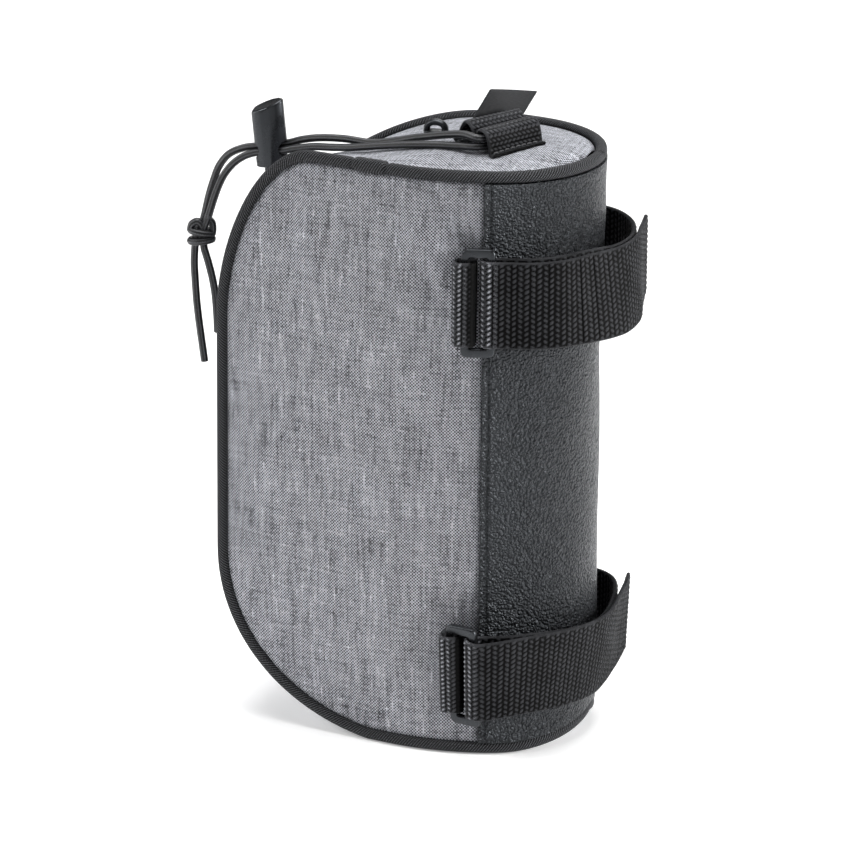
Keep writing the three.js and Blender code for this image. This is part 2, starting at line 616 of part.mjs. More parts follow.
// Strap from the far seam round the back, through its ring and back over itself
function strapBand(strap) {
  const { reach, upright, face, rearBar } = ringFrame(strap);
  const half = WEBBING.width / 2;
  const edges = (middle, rise) => ({ low: middle.clone().sub(rise), high: middle.clone().add(rise) });
  const atRow = ({ angle, radius, lift, lean }) => {
    const out = new THREE.Vector3(Math.sin(angle * Math.PI / 180), Math.cos(angle * Math.PI / 180), 0);
    const rise = out.clone().multiplyScalar(lean / 2).setZ(Math.sqrt(half ** 2 - (lean / 2) ** 2));
    return edges(out.multiplyScalar(radius).setZ(strap.middle + lift), rise);
  };
  const atBar = (rearward, off) => edges(
    rearBar.clone().addScaledVector(reach, rearward).addScaledVector(face, off),
    upright.clone().multiplyScalar(half),
  );
  const fold = steps(-Math.PI / 2, Math.PI / 2, FOLD.steps)
    .map((turn) => atBar(-FOLD.shift - FOLD.radius * Math.cos(turn), FOLD.radius * Math.sin(turn)));
  const overBar = atBar(RING.bar - FOLD.shift, FOLD.radius);
  const curve = (places, edge) => new THREE.CatmullRomCurve3(places.map((place) => place[edge]))
    .getPoints(STRAP_STEPS);
  const [low, high] = ['low', 'high'].map((edge) => [
    ...curve([...strap.inner.map(atRow), fold[0]], edge).slice(0, -1),
    ...fold.map((place) => place[edge]),
    ...curve([fold.at(-1), overBar, ...strap.outer.map(atRow)], edge).slice(1),
  ]);
  const path = low.map((point, index) => point.clone().lerp(high[index], 0.5));
  const rings = path.map((point, index) => {
    const after = path[Math.min(index + 1, path.length - 1)].clone().sub(point).normalize();
    const before = point.clone().sub(path[Math.max(index - 1, 0)]).normalize();
    const onward = after.add(before);
    const side = new THREE.Vector3(onward.y, -onward.x, 0).normalize().multiplyScalar(WEBBING.thick / 2);
    const near = index > path.length / 2 ? 1 - share(point.distanceTo(path.at(-1)), 0, TIP_REACH) : 0;
    const top = high[index].clone().setZ(high[index].z + strap.tip * near ** 2);
    const bottom = low[index].clone().setZ(low[index].z + strap.heel * near ** 2);
    return [
      top.clone().add(side),
      top.clone().sub(side),
      bottom.clone().sub(side),
      bottom.clone().add(side),
    ];
  });
  return loft(rings);
}

// Place over the gusset in the keeper's own directions
function keeperPoint(lengthwise, across, height) {
  const { x, y, turn } = KEEPER;
  const px = x + lengthwise * Math.cos(turn) - across * Math.sin(turn);
  const py = y + lengthwise * Math.sin(turn) + across * Math.cos(turn);
  return new THREE.Vector3(px, py, gussetTop(px, py) + GAP + height);
}

function keeper() {
  const lengthwise = (column) => KEEPER.width * column / (KEEPER_COLUMNS - 1);
  const inner = (row, column) => {
    const { across, height } = KEEPER_ARCH[row];
    return keeperPoint(lengthwise(column), across, height);
  };
  const outer = (row, column) => {
    const after = KEEPER_ARCH[Math.min(row + 1, KEEPER_ARCH.length - 1)];
    const before = KEEPER_ARCH[Math.max(row - 1, 0)];
    const slope = new THREE.Vector2(after.across - before.across, after.height - before.height).normalize();
    const { across, height } = KEEPER_ARCH[row];
    const sideways = across - slope.y * KEEPER.thick;
    const shifted = keeperPoint(lengthwise(column), sideways, 0);
    const level = inner(row, column).z - height - GAP;
    return shifted.setZ(level + GAP + height + slope.x * KEEPER.thick);
  };
  return sheet(KEEPER_ARCH.length, KEEPER_COLUMNS, outer, inner);
}

function labelTab() {
  const half = LABEL.thick / 2;
  const ends = LABEL.ends.map(({ foot, top, high }) => [
    keeperPoint(foot, LABEL.across - half, LABEL.foot),
    keeperPoint(top, LABEL.across - half, 0).setZ(high),
    keeperPoint(top, LABEL.across + half, 0).setZ(high),
    keeperPoint(foot, LABEL.across + half, LABEL.foot),
  ]);
  return loft(ends);
}

function tube(points, count) {
  const curve = new THREE.CatmullRomCurve3(points);
  const frames = curve.computeFrenetFrames(count, false);
  const rings = frames.normals.map((normal, index) => {
    const centre = curve.getPointAt(index / count);
    return steps(0, CORD.sides - 1, CORD.sides - 1).map((corner) => {
      const turn = corner * 2 * Math.PI / CORD.sides;
      return centre.clone()
        .addScaledVector(normal, CORD.radius * Math.cos(turn))
        .addScaledVector(frames.binormals[index], CORD.radius * Math.sin(turn));
    });
  });
  return loft(rings);
}

// The two strands start inside the front hump of the keeper, one over the other
function cord(name) {
  const height = { cord_near: CORD_CHANNEL.near, cord_far: CORD_CHANNEL.far }[name];
  const hidden = height === undefined ? [] : steps(CORD_CHANNEL.deep, 3, 3)
    .map((lengthwise) => keeperPoint(lengthwise, CORD_CHANNEL.across, height));
  const open = CORD_ROUTES[name].map(([x, y, z]) => new THREE.Vector3(x, y, z));
  return tube([...hidden, ...open], CORD_STEPS[name]);
}

function knot() {
  return loft(KNOT_RINGS.map(({ up, radius }) => steps(0, 11, 11).map((corner) => {
    const turn = corner * Math.PI / 6;
    return new THREE.Vector3(
      KNOT.x + radius * KNOT.squeeze * Math.cos(turn),
      KNOT.y + radius * Math.sin(turn),
      KNOT.z + up,
    );
  })));
}

function toManifold(geometry) {
  const welded = weld(geometry.clone());
  return new wasm.Manifold(new wasm.Mesh({
    numProp: 3,
    vertProperties: Float32Array.from(welded.getAttribute('position').array),
    triVerts: Uint32Array.from(welded.getIndex().array),
  }));
}

function cutFrom(geometry, cutters) {
  const left = cutters.reduce((body, cutter) => body.subtract(toManifold(cutter)), toManifold(geometry));
  const mesh = left.getMesh();
  const result = new THREE.BufferGeometry();
  result.setAttribute('position', new THREE.BufferAttribute(Float32Array.from(mesh.vertProperties), 3));
  result.setIndex(Array.from(mesh.triVerts));
  result.computeVertexNormals();
  return result;
}

// Ring of the lock's almond plan, at one size, from a level floor or under a slanted top
function lockRing(size, level, slant) {
  const near = LOCK_PLAN.map(({ fore, half }) => [half * size, fore * size]);
  const far = LOCK_PLAN.map(({ fore, half }) => [-half * size, fore * size]).reverse();
  return [...near, ...far].map(([x, y]) => new THREE.Vector3(x, y, level + y * Math.tan(slant)));
}

function placeLock(geometry) {
  const leaning = new THREE.Matrix4().makeRotationX(LOCK.lean);
  return geometry.applyMatrix4(leaning.setPosition(LOCK.x, LOCK.y, LOCK.z));
}

function lockBarrel() {
  const { height, slant, ease, cordWay, bore, shaft, clear } = LOCK;
  const eased = 1 - ease / LOCK_PLAN.at(-1).fore;
  const outside = loft([
    lockRing(eased, 0, 0),
    lockRing(1, ease, 0),
    lockRing(1, height - ease, slant),
    lockRing(eased, height, slant),
  ]);
  const bored = loft([lockRing(bore, -1, 0), lockRing(bore, shaft + clear * 2, 0)]);
  const way = new THREE.BoxGeometry(cordWay.wide, 30, cordWay.high).translate(0, 0, cordWay.up);
  return placeLock(cutFrom(outside, [bored, way]));
}

function lockPlunger() {
  const { bore, foot, shaft, clear } = LOCK;
  const slim = bore - clear / LOCK_PLAN[2].half;
  return placeLock(loft([lockRing(slim, -foot, 0), lockRing(slim, shaft, 0)]));
}

const bag = new THREE.Group();
bag.name = 'scooter_bag';

function add(name, geometry, material) {
  const mesh = new THREE.Mesh(geometry, material);
  mesh.name = name;
  bag.add(mesh);
}

add('side_panel_near', sidePanel(1), CLOTH);
add('side_panel_far', sidePanel(-1), CLOTH);
add('back_panel', backPanel(), LEATHERETTE);
add('gusset', gusset(), CLOTH);
add('piping', piping(), BINDING);
const tapeTop = -WALL - TAPE.below;
add('zip_tape', zipStrip(TAPE.width, 5, tapeTop, tapeTop - TAPE.thick, 0.02), ZIP_CLOTH);
add('zip_coil', zipStrip(COIL.width, 3, COIL.top, COIL.base, 0.05), ZIP_CLOTH);
add('zip_slider', zipSlider(), PLASTIC);
for (const [name, strap] of Object.entries(STRAPS)) {
  add(`strap_${name}`, strapBand(strap), WEB);
  add(`ring_${name}`, ring(strap), PLASTIC);
  add(`ring_tab_${name}`, ringTab(strap), WEB);
}
add('cord_keeper', keeper(), WEB);
add('label_tab', labelTab(), LABEL_CLOTH);

// Stand the bag on the floor with the middle of its footprint at the origin
const extent = new THREE.Box3().setFromObject(bag);
const footprint = extent.getCenter(new THREE.Vector3()).setZ(extent.min.z);

add('cord_lock_barrel', lockBarrel(), PLASTIC);
add('cord_lock_plunger', lockPlunger(), PLASTIC);
for (const name of Object.keys(CORD_ROUTES)) {
  add(name, cord(name), ELASTIC);
}
add('cord_knot', knot(), ELASTIC);
for (const mesh of bag.children) {
  mesh.geometry.translate(-footprint.x, -footprint.y, -footprint.z);
}

export default bag;
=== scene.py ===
"""Looks of a soft scooter bag: cloth, leatherette, webbing, zip, rings and an elastic cord with its lock."""

import math

import bpy
import numpy as np
from mathutils import Matrix, Vector


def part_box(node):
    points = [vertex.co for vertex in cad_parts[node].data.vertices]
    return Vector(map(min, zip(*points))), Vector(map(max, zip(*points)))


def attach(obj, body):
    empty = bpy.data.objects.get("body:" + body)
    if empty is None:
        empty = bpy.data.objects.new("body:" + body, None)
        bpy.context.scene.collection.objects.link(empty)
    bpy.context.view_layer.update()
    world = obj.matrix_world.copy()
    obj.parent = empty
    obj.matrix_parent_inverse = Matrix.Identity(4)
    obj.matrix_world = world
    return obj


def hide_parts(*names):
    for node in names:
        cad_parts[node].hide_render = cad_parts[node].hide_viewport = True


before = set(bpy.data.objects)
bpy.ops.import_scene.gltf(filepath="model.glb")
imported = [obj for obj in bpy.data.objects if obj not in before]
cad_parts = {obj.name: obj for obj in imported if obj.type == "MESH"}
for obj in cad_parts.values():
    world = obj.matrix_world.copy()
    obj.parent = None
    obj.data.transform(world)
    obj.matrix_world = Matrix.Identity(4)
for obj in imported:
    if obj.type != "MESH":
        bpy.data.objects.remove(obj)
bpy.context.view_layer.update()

MM = 0.001

# The wrap of cloth, seen from above as a tapering U that starts in the middle of the back, in millimetres
BACK_RADIUS = 45.0
BACK_HALF_ANGLE = math.radians(75)
SIDE_RADIUS = 90.0
SIDE_TAPER = math.radians(12)
WRAP_REACH = 184.0
SEAM_AT = 62.0
RIM_TOP = 256.4
WALL = 2.2
TOP_CORNER_NEAR = {"run": 42.0, "fall": 75.0, "power": 1.77}
TOP_CORNER_FAR = {"run": 95.0, "fall": 80.0, "power": 1.8}
BOTTOM_CORNER = {"run": 90.0, "fall": 75.0, "power": 2.1}
BOTTOM_SETTLE = 1.2
HEM = {"lift": 7.0, "reach": 50.0, "power": 1.5}
FLARE = {"depth": 1.5, "from": 165.0, "reach": 70.0}
BULGE = {"depth": 4.2, "from": 78.0, "power": 0.8}
PANEL = {"rows": 97, "side_columns": 90, "back_columns": 180, "seam_gap": 0.1}
EDGE_EASE = {"rise": 16.0, "front_from": 2.0, "front_to": 22.0}
PANEL_RIPPLE = {"broad": 0.35, "broad_run": 17, "broad_rise": 27, "fine": 0.2, "fine_run": 8, "fine_rise": 14}
SEAM_STEPS = {"top": 46, "zip": 73, "corner": 33, "front": 36}
CRISP_ANGLE = math.radians(50)

PIPING = {"flat": 2.4, "sink": 0.5, "sides": 20, "full": 1.03, "squareness": 2.6}
LAP = {"from": 104.5, "to": 120.5, "swell": 0.2, "edge": 0.75, "crease": 0.42}
RIM_BASE = PIPING["flat"]
PANEL_INSET = 2.6
GUSSET_INSET = 3.4
GUSSET_START = 8.0
GUSSET_COLUMNS = 18
GUSSET_EASE = {"edge": 12.0, "slot_from": 3.0, "slot_to": 12.0}
GUSSET_RIPPLE = {
    "fine": 0.30, "fine_run": 11, "fine_side": 9, "broad": 0.25, "broad_run": 23, "broad_side": 13,
}
TOP_CROWN = (
    (8, 1.5), (28, 4.4), (55, 5.4), (88, 4.6), (106, 1.8), (124, -0.2), (145, 0.0), (165, 2.5), (184, 6.0),
)
BOTTOM_CROWN = ((8, 0.0), (112, 0.0), (150, 3.0), (184, 6.0))
BOTTOM_DROP = ((8, RIM_BASE), (112, RIM_BASE), (150, 0.0), (184, 0.0))
CROWN_POWER = 2.2
ZIP = {"start": 88.0, "finish": 152.0, "slot": 8.0, "slack": 0.01}
TAPE = {"width": 20.0, "below": 0.5, "thick": 0.8, "columns": 15}
TOOTH = {"pitch": 1.5, "thick": 0.55, "sunk": 0.7, "end_gap": 1.5, "flat": 0.95, "sides": 8}
# Sections of a tooth from tip to foot: distance past the zip's middle, share of its thickness, and drop
TOOTH_SECTIONS = ((-0.7, 0.45, 0.0), (-0.2, 1.25, 0.0), (0.9, 0.8, 0.1), (2.5, 0.85, 0.5))
SLIDER = {
    "along": 96.0, "length": 10.0, "width": 6.6, "plate": 1.8, "off": 0.6,
    "bail": 3.9, "wire": 1.4, "bail_inset": 0.9, "bail_sink": 0.3, "bail_power": 0.75, "bail_widen": 0.45,
    "bail_steps": 28, "bail_sides": 12,
}

# Webbing of the straps, ring tabs and keeper
WEBBING = {"width": 38.0, "thick": 1.8, "step": 0.6}
# Weaves: the length and width of a float, and the height of its crown
STRAP_WEAVE = {"column": 2.6, "row": 2.3, "height": 0.6}
TAB_WEAVE = {"column": 2.2, "row": 2.1, "height": 0.4}
KEEPER_WEAVE = {"column": 1.8, "row": 2.2, "height": 0.5}
FLOAT = {"slant": 0.6, "column_power": 2.4, "row_power": 2.2, "crown_power": 0.75, "middle": 0.6}
BAND_COLUMNS = {"least": 9, "per_row": 4}
SELVEDGE = {"from": 0.4, "to": 1.5, "level": 0.75, "rounding": 0.7}
# Painted shine of the strap's webbing round the bend at its ring: most, how much it fades, and the distances
# it fades over
PAINTED_BEND_SHINE = {"most": 1.9, "fade": 0.9, "from": 4.0, "to": 9.5}
# Straps: middle of the webbing by angle round the back, standoff radius, lift and how far its top leans out
STRAPS = {
    "upper": {
        "middle": 202.9,
        "inner": (
            (-79, 46.6, 0, 0), (-72, 48.6, 0, 0), (-62, 54, 0, 0), (-50, 58.4, 0, 0), (-40, 60.6, 0, 0),
            (-28, 61, 0, 0), (-16, 60.6, 0, -0.5), (-4, 60.6, 0.2, -1.9), (11, 59.9, 0.6, -4),
            (20, 57.6, 1, -5), (28, 55.6, 1.2, -4.5), (36, 54.7, 1.2, -2.5), (44, 54.1, 1.2, -1),
            (56, 51.6, 0.8, 0), (66, 47.8, 0.3, 0),
        ),
        "outer": (
            (66, 52.6, 0, 0), (56, 55, 0, 0), (44, 56.9, 0, -1), (36, 57.3, 0, -2.5), (28, 58.1, 0, -4.5),
            (20, 60.1, 0.1, -5), (11, 62.4, 0.3, -4), (-4, 63.2, 0.6, -1.9), (-16, 63.6, 1, -0.5),
            (-22, 65, 1.3, 0), (-28, 67.2, 1.6, 0),
        ),
        "ring": {"forward": 0.0, "lift": 0.0, "lean": 0.0, "tilt": 0.0},
        "tip": 0.0, "heel": 3.2,
    },
    "lower": {
        "middle": 38.9,
        "inner": (
            (-79, 46.6, -4.5, 0), (-72, 49.6, -4.2, 0), (-63, 56, -3.7, 0), (-54, 60.6, -3.2, 0),
            (-45, 61, -2.9, 0.5), (-36, 58.6, -2.7, 1.5), (-27, 55.4, -2.7, 3), (-16, 52.5, -2.9, 4),
            (-4, 50.9, -3.2, 5), (8, 50.4, -3.5, 5.5), (20, 50.4, -2.7, 6), (32, 50.6, -1.9, 6),
            (44, 51.3, -0.9, 6), (56, 52.5, 0, 6), (66, 53.5, 0, 6),
        ),
        "outer": (
            (66, 58.6, 0, 6), (56, 56.5, 0.3, 6), (44, 54.3, -0.3, 6), (32, 53.2, -0.9, 6),
            (20, 53, -1.4, 6), (8, 53, -1.9, 5.5), (-4, 53.6, -1.3, 5), (-16, 55.5, -0.7, 4),
            (-26, 59.4, -0.3, 3), (-34, 64, 0, 1.5),
        ),
        "ring": {"forward": 3.0, "lift": 4.5, "lean": 6.0, "tilt": math.radians(2.6)},
        "tip": 1.2, "heel": 4.0,
    },
}
FOLD = {"steps": 12, "radius": 2.9, "shift": 1.0}
TIP_REACH = 30.0
RING = {
    "along": 63.5, "width": 14.5, "height": 47.5, "bar": 3.4, "end_bar": 4.1, "thick": 3.0, "off": 4.2,
    "corner": 2.8, "inner_corner": 1.0, "ease": 1.0, "ease_steps": 5,
}
TAB_WIDTH, TAB_THICK, TAB_STEP = 37.0, 1.6, 0.45
# Section of a ring tab: along the wrap and out from it
TAB_PATH = (
    (64.4, 1.2), (68, 1.2), (71.6, 1.3), (73, 2.6), (73.3, 4.6), (73, 6.6), (71.6, 7.9), (68.4, 8.0),
    (66.4, 7.4), (65.1, 5.9),
)
# Stretches of that section where the tab follows its ring and leans with it, where it gets painted shine, and
# where its end is painted dark as shade
TAB_FOLLOWS = {"along": (66, 71), "out": (2, 5)}
TAB_LEANS = (2, 4.2)
TAB_PAINTED_SHINE = {"along": (66.5, 70), "out": (2.5, 5), "gain": 0.85}
TAB_PAINTED_DARK_END = (1, 4)

# Keeper on the top, running askew to the zip, and the label behind it
KEEPER = {"x": 26.0, "y": 5.0, "turn": math.radians(142), "width": 28.0, "thick": 1.5, "clear": 0.3}
KEEPER_ARCH = (
    (-3.4, 0), (-0.6, 0.1), (0.8, 4.2), (2.8, 8.4), (6.4, 8.4), (8.4, 4.4),
    (10.6, 4.6), (13, 8.4), (15.8, 9.6), (18.6, 7), (20.6, 2.2), (24, 0),
)
KEEPER_STEP = 0.4
# Painted shine on the keeper's crests: gain, and the heights it rises between
KEEPER_PAINTED_SHINE = {"gain": 0.5, "from": 6, "to": 8.5}
LABEL = {
    "across": 22.3, "foot": 3.9, "thick": 1.0, "length": 25.0, "columns": 40, "rows": 36,
    "foot_ends": (5.0, 33.0), "top_ends": (17.9, 42.2), "high_ends": (281.4, 276.7),
    "bow": 0.9, "fold": 1.0, "strip_from": 2.8, "strip_to": 2.2, "strip_sink": 0.16, "least_half": 0.02,
}
STITCH = {"length": 2.0, "gap": 0.9, "radius": 0.32, "first": 0.5, "sink": 0.35, "steps": 7, "sides": 8}
# Rows of stitches on the keeper: name, place across it and height of the webbing there
STITCH_ROWS = (("near", -2.2, 0.0), ("valley", 9.5, 4.3))
STITCH_MARGIN, STITCH_LIFT, STITCH_POINTS = 1.2, 0.05, 40

# Elastic cord: the routes of its strands and tails, with the lock and the knot on them
CORD_RADIUS = 1.6
CORD_RIBS = 7
CORD_RIB_HEIGHT = 0.05
CORD_SIDES = 28
CORD_STEP = 1.0
# Direction that the first ring of a tube is turned by
TUBE_START = (0.3, 0.9, 0.2)
CHANNEL = {"across": 4.6, "near": 2.4, "far": 5.9, "deep": 23.0, "mouth": 3.0, "points": 4}
ROUTES = {
    "cord_near": (
        (24.4, 0.4, 263.4), (23, -7.6, 262.7), (21.4, -16.5, 261.9), (20.2, -25, 261), (18.6, -34, 259.7),
        (16.6, -42.5, 258.1), (14.2, -51, 256.3), (11.6, -59.5, 254.4), (9, -68, 253), (7.2, -77, 252),
        (6, -85, 250.2), (5.6, -92, 248.5), (5.6, -98, 247.6), (5.8, -103.5, 246.6), (6.1, -108.3, 244.7),
        (6.5, -113, 241.1), (6.9, -116.9, 236), (7.2, -119.6, 230.2), (7.2, -121.8, 223.8),
        (7, -124.1, 216.4),
    ),
    "cord_far": (
        (24.3, 0.4, 267), (22, -5.9, 267.5), (17.6, -14.4, 265.6), (14.2, -23.5, 263.2), (12, -31, 261.2),
        (10, -38, 259.1), (8.2, -45, 257.1), (6.8, -52, 255.9), (5.2, -63.5, 256.1), (3.8, -75, 255.2),
        (2.8, -83, 253.5), (2.5, -89, 251.5), (2.5, -95.5, 250), (2.5, -103, 248.8), (2.7, -109.7, 247.4),
        (3, -115.9, 244.3), (3.2, -120.1, 239), (3.4, -122.7, 232.2), (3.6, -124.7, 225.4),
        (4, -126.6, 216.4),
    ),
    "cord_tail_front": (
        (4, -131, 201.8), (4, -131.3, 194.9), (4, -130.9, 186.8), (4, -130.3, 177.8), (4, -129.2, 168),
        (4, -127.9, 158.6), (4, -126.8, 150.5),
    ),
    "cord_tail_side": (
        (6.2, -126, 201.8), (6, -124.3, 196.1), (6, -122.5, 189.1), (6, -121.4, 182.9), (6, -120.6, 174),
        (6, -120.2, 165),
    ),
}
KNOT = {"x": 5.0, "y": -128.4, "z": 208.9, "slim": 0.99, "sides": 20, "step": 0.5, "tuck": 0.15}
KNOT_TURN = {
    "shift": 0.6, "across": 4.7, "deep": 3.3, "ends": (-0.55 * math.pi, 1.55 * math.pi), "points": 40,
}
LOCK = {
    "x": 4.0, "y": -95.6, "z": 241.4, "lean": math.radians(6),
    "height": 27.0, "slant": math.radians(17), "tilt_share": 0.6, "ease": 1.1, "half_length": 7,
    "way_up": 7.4, "way_high": 6.8, "way_wide": 7.4, "way_corner": 2.6, "way_reach": 15.0,
    "bore": 0.62, "bore_gap": 0.07, "bore_below": 1,
    "foot": 3.0, "foot_ease": 0.4, "foot_taper": 0.9, "shaft": 3.4,
    "outline_step": 0.4, "smoothings": 3, "ease_steps": 6, "crisp": math.radians(40),
}
# Dish in the lock's slanted top: share of its outline and depth
LOCK_DISH = ((0.72, 0.35), (0.2, 0.5))
LOCK_PLAN = ((-7, 2.1), (-5.4, 3.5), (-2.4, 4.6), (1.2, 4.8), (4.8, 3.5), (7, 1.2))

# Soft dents of the cloth: along the wrap, up, lean of the fold, half length, half width and depth
NEAR_DENTS = (
    (70, 232, 62, 24, 4.5, -2.2), (80, 214, 58, 36, 6.0, 2.6), (91, 222, 60, 30, 6.0, -1.4),
    (150, 216, 84, 30, 7.0, -1.5), (138, 226, 80, 26, 6.0, 0.9), (166, 205, 78, 22, 6.0, 0.4),
    (108, 170, 35, 40, 14.0, 0.6), (128, 120, 100, 50, 16.0, -0.7), (100, 70, 20, 36, 12.0, 0.6),
    (72, 60, 70, 24, 6.0, -0.7), (150, 60, 130, 30, 10.0, 0.5),
)
FAR_DENTS = (
    (80, 222, 60, 30, 7.0, -0.9), (110, 200, 40, 36, 12.0, 1.0), (130, 186, 48, 30, 8.0, -1.0),
    (150, 140, 85, 44, 14.0, 0.7), (96, 90, 20, 40, 14.0, -0.6), (74, 60, 75, 26, 7.0, -0.7),
)
BACK_DENTS = (
    (48, 150, 92, 60, 5.0, -0.5), (20, 120, 80, 60, 14.0, 0.5), (-12, 170, 100, 40, 12.0, -0.5),
    (-40, 110, 88, 60, 10.0, 0.5), (30, 225, 20, 22, 6.0, -0.4), (-20, 232, 160, 20, 6.0, 0.3),
)
EDGE_FOLD = {"back_from_seam": 2.8, "half_width": 0.7, "depth": 0.5}

# Camera of the photograph
IMAGE_SIDE = 850
CAMERA = {"azimuth": 106.0, "elevation": 18.67, "roll": 0.475, "distance": 2600.0, "pixels_per_mm": 2.33}
FOCUS = (0.0, -20.0, 132.4)
FOCUS_PIXEL = (444.5, 421.6)
SENSOR_MM = 36.0
VIEW_DEPTH = 50

# Studio, in metres and watts: name, place, size, power and target of each soft light, the world and the floor
LIGHTS = (
    ("key", (0.8, -1.5, 1.3), 0.7, 17.0, (0.0, 0.0, 0.12)),
    ("overhead", (-0.1, 0.0, 1.7), 1.2, 32.0, (0.0, 0.0, 0.0)),
    ("low_rear", (-0.05, 1.7, 0.6), 0.6, 38.0, (0.0, 0.0, 0.2)),
    ("fill", (1.9, 0.1, 0.45), 0.9, 2.0, (0.0, 0.0, 0.1)),
    ("low_front", (0.3, -1.7, 0.3), 0.5, 6.0, (0.0, -0.08, 0.0)),
    ("backdrop", (-2.3, -0.1, 1.5), 1.4, 44.0, (-2.6, -0.1, 0.0)),
)
WORLD_STRENGTH = 0.15
# Floor: half side, depth below, and its painted glow round the bag with the distances it fades over
FLOOR = {"half_side": 6.0, "below": 0.0004, "painted_glow": 0.25, "glow_from": 0.15, "glow_to": 0.5}
WHITE, BLACK, FLOOR_PALE = (1, 1, 1, 1), (0, 0, 0, 1), (0.92, 0.92, 0.92, 1)

# Where the middle of the rear arc stands in the row frame
BACK_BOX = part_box("back_panel")
REAR_REACH = BACK_RADIUS + FLARE["depth"] + PIPING["flat"] - PIPING["sink"]
ORIGIN = np.array((
    (BACK_BOX[0].x + BACK_BOX[1].x) / 2,
    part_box("piping")[1].y - REAR_REACH * MM,
    0.0,
))


def placed(points):
    """Points of the wrap's own frame, in millimetres, as metres in the row frame."""
    return np.asarray(points, float) * MM + ORIGIN


def share(value, low, high):
    return np.clip((np.asarray(value, float) - low) / (high - low), 0, 1)


def smooth_share(value, low, high):
    part = share(value, low, high)
    return part * part * (3 - 2 * part)


def unit(vectors):
    return vectors / np.maximum(np.linalg.norm(vectors, axis=-1, keepdims=True), 1e-9)


def tangents(path):
    return unit(np.gradient(path, axis=0))


def arc_lengths(path):
    return np.concatenate([[0], np.cumsum(np.linalg.norm(np.diff(path, axis=0), axis=1))])


def even_path(path, spacing):
    """The same path with its points a constant distance apart."""
    path = np.asarray(path, float)
    length = arc_lengths(path)
    at = np.linspace(0, length[-1], max(4, int(round(length[-1] / spacing)) + 1))
    return np.stack([np.interp(at, length, path[:, axis]) for axis in range(path.shape[1])], axis=1)


def smooth_path(points, per_span=24):
    """A centripetal curve through a few points."""
    points = np.asarray(points, float)
    ends = np.vstack([2 * points[0] - points[1], points, 2 * points[-1] - points[-2]])
    spans = []
    for a, b, c, d in zip(ends, ends[1:], ends[2:], ends[3:]):
        knots = np.cumsum([0, *[math.sqrt(np.linalg.norm(q - p)) for p, q in ((a, b), (b, c), (c, d))]])
        t = np.linspace(knots[1], knots[2], per_span, endpoint=False)[:, None]
        ab = ((knots[1] - t) * a + (t - knots[0]) * b) / (knots[1] - knots[0])
        bc = ((knots[2] - t) * b + (t - knots[1]) * c) / (knots[2] - knots[1])
        cd = ((knots[3] - t) * c + (t - knots[2]) * d) / (knots[3] - knots[2])
        abc = ((knots[2] - t) * ab + (t - knots[0]) * bc) / (knots[2] - knots[0])
        bcd = ((knots[3] - t) * bc + (t - knots[1]) * cd) / (knots[3] - knots[1])
        spans.append(((knots[2] - t) * abc + (t - knots[1]) * bcd) / (knots[2] - knots[1]))
    return np.vstack([*spans, points[-1:]])


def wrap_plan(along):
    """Place and outward direction on the wrap seen from above; the far side is negative."""
    along = np.asarray(along, float)
    side = np.where(along < 0, -1.0, 1.0)
    run = np.abs(along)
    back_arc = BACK_RADIUS * BACK_HALF_ANGLE
    side_arc = SIDE_RADIUS * (math.pi / 2 + SIDE_TAPER - BACK_HALF_ANGLE)
    turn = np.minimum(run, back_arc) / BACK_RADIUS + np.clip(run - back_arc, 0, side_arc) / SIDE_RADIUS
    straight = np.maximum(0, run - back_arc - side_arc)
    radius = np.where(run <= back_arc, BACK_RADIUS, SIDE_RADIUS)
    offset = np.where(run <= back_arc, 0, BACK_RADIUS - SIDE_RADIUS)
    x = offset * math.sin(BACK_HALF_ANGLE) + radius * np.sin(turn) + straight * np.cos(turn)
    y = offset * math.cos(BACK_HALF_ANGLE) + radius * np.cos(turn) - straight * np.sin(turn)
    return side * x, y, side * np.sin(turn), np.cos(turn)


def wrap_point(along, out, up):
    """Points a distance out from the wrap, which flares at the top of its back."""
    x, y, out_x, out_y = wrap_plan(along)
    rise = share(up, FLARE["from"], RIM_TOP)
    lean = FLARE["depth"] * rise ** 2 * np.maximum(0, 1 - (np.asarray(along) / FLARE["reach"]) ** 2)
    return np.stack(np.broadcast_arrays(x + out_x * out, y + out_y * out + lean, up), axis=-1)


def corner_fall(along, corner, inset):
    across = share(along, WRAP_REACH - corner["run"], WRAP_REACH - inset)
    power = corner["power"]
    return (corner["fall"] - inset) * (1 - (1 - across ** power) ** (1 / power))


def top_edge(along, corner, inset=0.0):
    return RIM_TOP - inset - corner_fall(along, corner, inset)


def bottom_edge(along, inset=0.0):
    lift = HEM["lift"] * np.maximum(0, 1 - np.asarray(along) / HEM["reach"]) ** HEM["power"]
    return RIM_BASE + inset + lift + np.maximum(0, corner_fall(along, BOTTOM_CORNER, inset) - BOTTOM_SETTLE)


